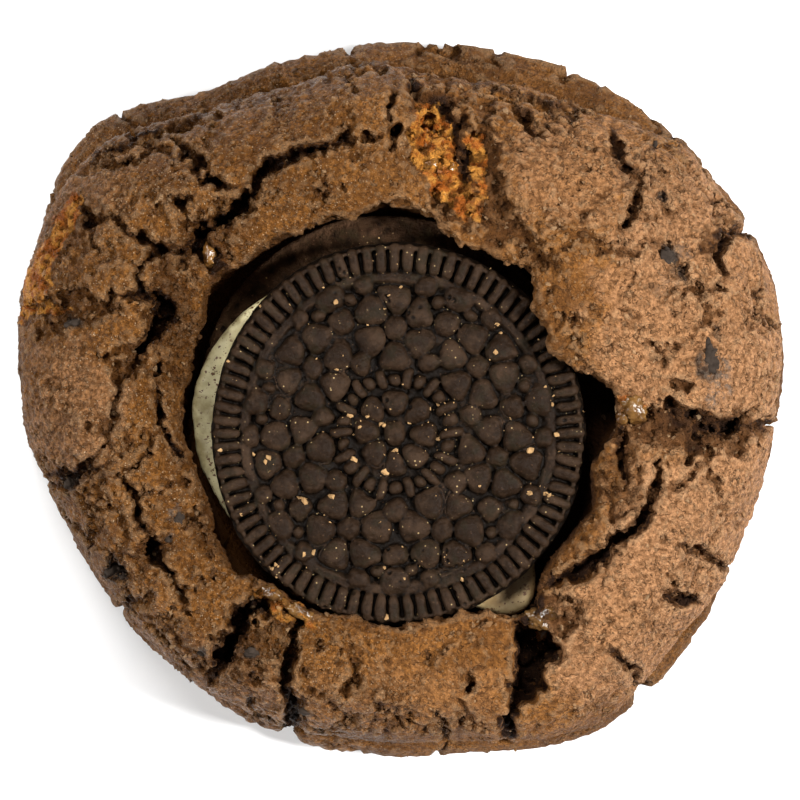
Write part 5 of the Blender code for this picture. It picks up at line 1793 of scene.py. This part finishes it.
def crumbTree(name, values, material, shareName=None):
    tree, given = startTree(name, values)
    place = addNode(tree, "GeometryNodeInputPosition").outputs[0]
    patchSize = maths(tree, "DIVIDE", 1.0 / mm, given["Patch Size"])
    patches = addNode(tree, "ShaderNodeTexNoise", {"Vector": place, "Scale": patchSize, "Detail": 2.0})
    density = fade(tree, patches.outputs["Fac"], *crumbShape["patches"], given["Evenness"])
    density = maths(tree, "MULTIPLY", density, given["Density"])
    if shareName:
        named = addNode(tree, "GeometryNodeInputNamedAttribute", {"Name": shareName}, data_type="FLOAT")
        density = maths(tree, "MULTIPLY", density, named.outputs[0])
    facing = addNode(tree, "GeometryNodeInputNormal").outputs[0]
    facing = addNode(tree, "ShaderNodeSeparateXYZ", {0: facing}).outputs[2]
    upright = maths(tree, "GREATER_THAN", facing, crumbShape["leastUp"])
    values = {"Mesh": given["Geometry"], "Selection": upright, "Density": density, "Seed": given["Seed"]}
    spots = addNode(tree, "GeometryNodeDistributePointsOnFaces", values)
    seldom = maths(tree, "POWER", randomShare(tree, 0.0, 1.0, 3), given["Rarity"])
    span = maths(tree, "SUBTRACT", given["Largest"], given["Smallest"])
    size = maths(tree, "MULTIPLY_ADD", seldom, span, given["Smallest"])
    depth = maths(tree, "MULTIPLY", maths(tree, "MULTIPLY", size, given["Sink"]), -mm)
    sunk = scaled(tree, spots.outputs["Normal"], depth)
    points = addNode(tree, "GeometryNodeSetPosition", {0: spots.outputs[0], "Offset": sunk})
    values = {0: points.outputs[0], "Name": "pick", "Value": randomShare(tree, 0.0, 1.0, 9)}
    tinted = addNode(tree, "GeometryNodeStoreNamedAttribute", values, data_type="FLOAT")
    ball = addNode(tree, "GeometryNodeMeshIcoSphere", {"Radius": mm, "Subdivisions": 1})
    values = {0: tinted.outputs[0], "Instance": ball.outputs[0]}
    values["Scale"] = scaled(tree, randomThree(tree, crumbShape["stretch"], 20), size)
    values["Rotation"] = randomThree(tree, crumbShape["turn"], 30)
    placed = addNode(tree, "GeometryNodeInstanceOnPoints", values)
    real = addNode(tree, "GeometryNodeRealizeInstances", {0: placed.outputs[0]})
    values = {"Vector": place, "Scale": 1.0 / (crumbShape["dentSize"] * mm), "Detail": 1.0}
    dent = addNode(tree, "ShaderNodeTexNoise", values).outputs["Color"]
    offset = addNode(tree, "ShaderNodeVectorMath", {0: dent, 1: (0.5, 0.5, 0.5)}, operation="SUBTRACT")
    offset = scaled(tree, offset.outputs[0], maths(tree, "MULTIPLY", given["Unevenness"], mm))
    dented = addNode(tree, "GeometryNodeSetPosition", {0: real.outputs[0], "Offset": offset})
    endTree(tree, dented.outputs[0], material)
    return tree


def scatterCrumbs(name, carrier, material, shareName=None):
    values = crumbSets[name]
    tree = crumbTree(name, values, material, shareName)
    piece = addPiece(name, carrier.data.copy())
    mesh = runTree(piece, tree, values)
    for layer in ("crumbShare", "grainShare", "cavity"):
        if layer in mesh.attributes:
            mesh.attributes.remove(mesh.attributes[layer])
    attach(piece, "root")
    print(name, "done:", len(mesh.polygons), "faces")
    return piece


# x, y, half length, half width, half height, turn, share sunk into the crust, and how orange a lump is
caramelLumps = (
    (26.9, -1.2, 1.4, 1.7, 1.0, 10, 0.15, 0.25), (25.4, -2.2, 0.8, 0.7, 0.7, 40, 0.2, 0.2),
    (15.7, -25.3, 1.6, 1.1, 0.9, -40, 0.1, 0.05), (17.3, -24.5, 1.2, 0.8, 0.8, 10, 0.2, 0.1),
    (16.6, -26.9, 1.2, 0.9, 0.8, 60, 0.2, 0.05), (5.9, 26.2, 0.45, 1.1, 0.5, -15, 0.4, 1.0),
    (3.4, 26.9, 0.9, 0.6, 0.6, 20, 0.45, 0.8), (-11.6, -24.4, 1.9, 0.8, 0.6, -25, 0.5, 0.15),
    (-14.6, -22.4, 1.4, 0.7, 0.6, -30, 0.45, 0.15), (-21.9, 16.4, 0.8, 1.4, 0.8, 5, 0.3, 0.5),
)
biscuitChunks = (
    (30.8, 15.9, 0.9, 1.6, 0.8, 10, 0.45, 0), (35.5, 4.6, 1.0, 1.9, 0.9, 5, 0.45, 0),
    (-33.0, -19.8, 1.3, 1.1, 0.9, 20, 0.45, 0), (-31.9, -20.6, 0.7, 0.6, 0.6, 60, 0.4, 0),
    (-22.8, -29.2, 0.6, 0.5, 0.5, 0, 0.45, 0), (-16.9, -29.1, 0.9, 0.6, 0.7, 10, 0.45, 0),
    (-11.0, -36.0, 0.7, 0.5, 0.5, 0, 0.4, 0), (-37.3, 8.6, 1.3, 0.6, 0.8, 15, 0.45, 0),
    (-25.7, -13.4, 0.8, 1.0, 0.6, 0, 0.55, 0), (-26.4, -16.0, 0.9, 0.6, 0.6, 0, 0.55, 0),
    (29.4, 29.2, 0.7, 0.4, 0.5, 60, 0.4, 0), (-38.1, -9.8, 0.8, 0.6, 0.6, 0, 0.45, 0),
)


lumpLook = {
    "rayHeight": 60.0,  # each lump drops from here onto the crust
    "plainHeight": 24.0,
    "dents": ((0.9, 1.0), (2.4, 0.7)),  # fineness and share
    "apart": 7.3,  # gives each lump its own dents
    "lift": 0.3,
    "level": 4,
}


def lumpMesh(name, lumps, ground, seed, dents):
    look = lumpLook
    bm = bmesh.new()
    shares = []
    for number, (x, y, length, width, height, turn, sunk, amber) in enumerate(lumps):
        x, y = x + planShift[0], y + planShift[1]
        start = Vector((x, y, look["rayHeight"])) * mm
        hit = ground.ray_cast(start, Vector((0.0, 0.0, -1.0)))[0]
        base = (hit.z / mm if hit else look["plainHeight"]) + height * (look["lift"] - 2 * sunk)
        made = bmesh.ops.create_icosphere(bm, subdivisions=look["level"], radius=1.0)["verts"]
        c, s = math.cos(math.radians(turn)), math.sin(math.radians(turn))
        for vert in made:
            local = Vector((vert.co.x * length, vert.co.y * width, vert.co.z * height))
            spot = local + Vector((0, 0, look["apart"] * (number + seed)))
            swell = 1.0
            for fineness, portion in look["dents"]:
                swell += portion * dents * noise.noise(spot * fineness)
            px, py, pz = local * swell
            vert.co = Vector((x + px * c - py * s, y + px * s + py * c, base + pz)) * mm
        shares += [amber] * len(made)
    mesh = bpy.data.meshes.new(name)
    bm.to_mesh(mesh)
    bm.free()
    storeShare(mesh, "amber", np.array(shares, dtype=float))
    return mesh


def makeLumps(name, lumps, ground, material, seed, dents):
    piece = addPiece(name, lumpMesh(name, lumps, ground, seed, dents), material)
    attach(piece, "root")
    print(name, "done")
    return piece


studio = {
    "floorColour": (0.86, 0.86, 0.86),
    "floorSize": 1500.0,
    "floorDrop": 0.2,
    "floorRoughness": 0.9,
    "world": 0.16,
    "worldColour": (1.0, 0.985, 0.97),
    "key": {"angle": -4.0, "rise": 46.0, "away": 900.0, "size": 200.0, "power": 16.8},
    "fill": {"angle": 190.0, "rise": 36.0, "away": 900.0, "size": 130.0, "power": 7.6},
    "top": {"angle": 110.0, "rise": 60.0, "away": 1000.0, "size": 300.0, "power": 5.6},
    "cameraHeight": 712.0,
    "lens": 269.6,
    "sensor": 36.0,
    "clip": (10.0, 10000.0),
    "imageMiddle": (0.0, -0.17),
}


def addLight(name, values):
    light = bpy.data.lights.new(name, "AREA")
    light.shape = "DISK"
    light.size = values["size"] * mm
    light.energy = values["power"]
    lamp = bpy.data.objects.new(name, light)
    turn, rise = math.radians(values["angle"]), math.radians(values["rise"])
    way = Vector((math.cos(turn) * math.cos(rise), math.sin(turn) * math.cos(rise), math.sin(rise)))
    lamp.location = way * values["away"] * mm
    lamp.rotation_euler = way.to_track_quat("Z", "Y").to_euler()
    bpy.context.scene.collection.objects.link(lamp)


def makeStudio():
    scene = bpy.context.scene
    bm = bmesh.new()
    bmesh.ops.create_grid(bm, x_segments=2, y_segments=2, size=studio["floorSize"] * mm)
    mesh = bpy.data.meshes.new("floor")
    bm.to_mesh(mesh)
    bm.free()
    material, _, shader, _ = startMaterial("floorPaper", Roughness=studio["floorRoughness"])
    shader.inputs["Base Color"].default_value = (*studio["floorColour"], 1.0)
    floor = addPiece("floor", mesh, material)
    floor.location.z = -studio["floorDrop"] * mm
    world = bpy.data.worlds.new("studio")
    world.use_nodes = True
    background = world.node_tree.nodes["Background"]
    background.inputs["Color"].default_value = (*studio["worldColour"], 1.0)
    background.inputs["Strength"].default_value = studio["world"]
    scene.world = world
    addLight("keyLight", studio["key"])
    addLight("fillLight", studio["fill"])
    addLight("topLight", studio["top"])
    lens = bpy.data.cameras.new("camera")
    lens.lens = studio["lens"]
    lens.sensor_width = studio["sensor"]
    lens.clip_start, lens.clip_end = (reach * mm for reach in studio["clip"])
    camera = bpy.data.objects.new("camera", lens)
    middle = planShift + np.array(studio["imageMiddle"])
    camera.location = (middle[0] * mm, middle[1] * mm, studio["cameraHeight"] * mm)
    scene.collection.objects.link(camera)
    scene.camera = camera
    scene.view_settings.view_transform = "Standard"
    scene.view_settings.look = "None"
    print("studio done")


plan = drawPlan()
print("plan of the crust drawn")
crust = makeCrust()
wafer = makeWafer("darkWafer", waferHigh.z / mm, (1.0, 1.0, 1.0), waferLook["grainDepth"])
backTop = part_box("lower_wafer")[1].z / mm
# a lighter copy of the wafer's look: painted light for the lower wafer in shade
plainWafer = makeWafer("darkWaferBack", backTop, waferLook["backLightGains"], waferLook["backGrainDepth"])
cream = makeCream()
tanCrumb = makeCrumbLook("tanCrumb")
darkChunk = makeCrumbLook("darkChunk")
caramel = makeCaramel()

dough = makeDough(plan, crust)
upperWafer = makeUpperWafer(wafer)
lowerWafer = makeLowerWafer(plainWafer)
creamLayer = makeCreamLayer(cream)
ground = BVHTree.FromObject(dough, bpy.context.evaluated_depsgraph_get())
makeLumps("caramelLumps", caramelLumps, ground, caramel, 3, 0.35)
makeLumps("biscuitChunks", biscuitChunks, ground, darkChunk, 40, 0.5)
scatterCrumbs("waferCrumbs", upperWafer, tanCrumb)
scatterCrumbs("crackCrumbs", dough, crust, "crumbShare")
scatterCrumbs("crustGrains", dough, crust, "grainShare")
makeStudio()
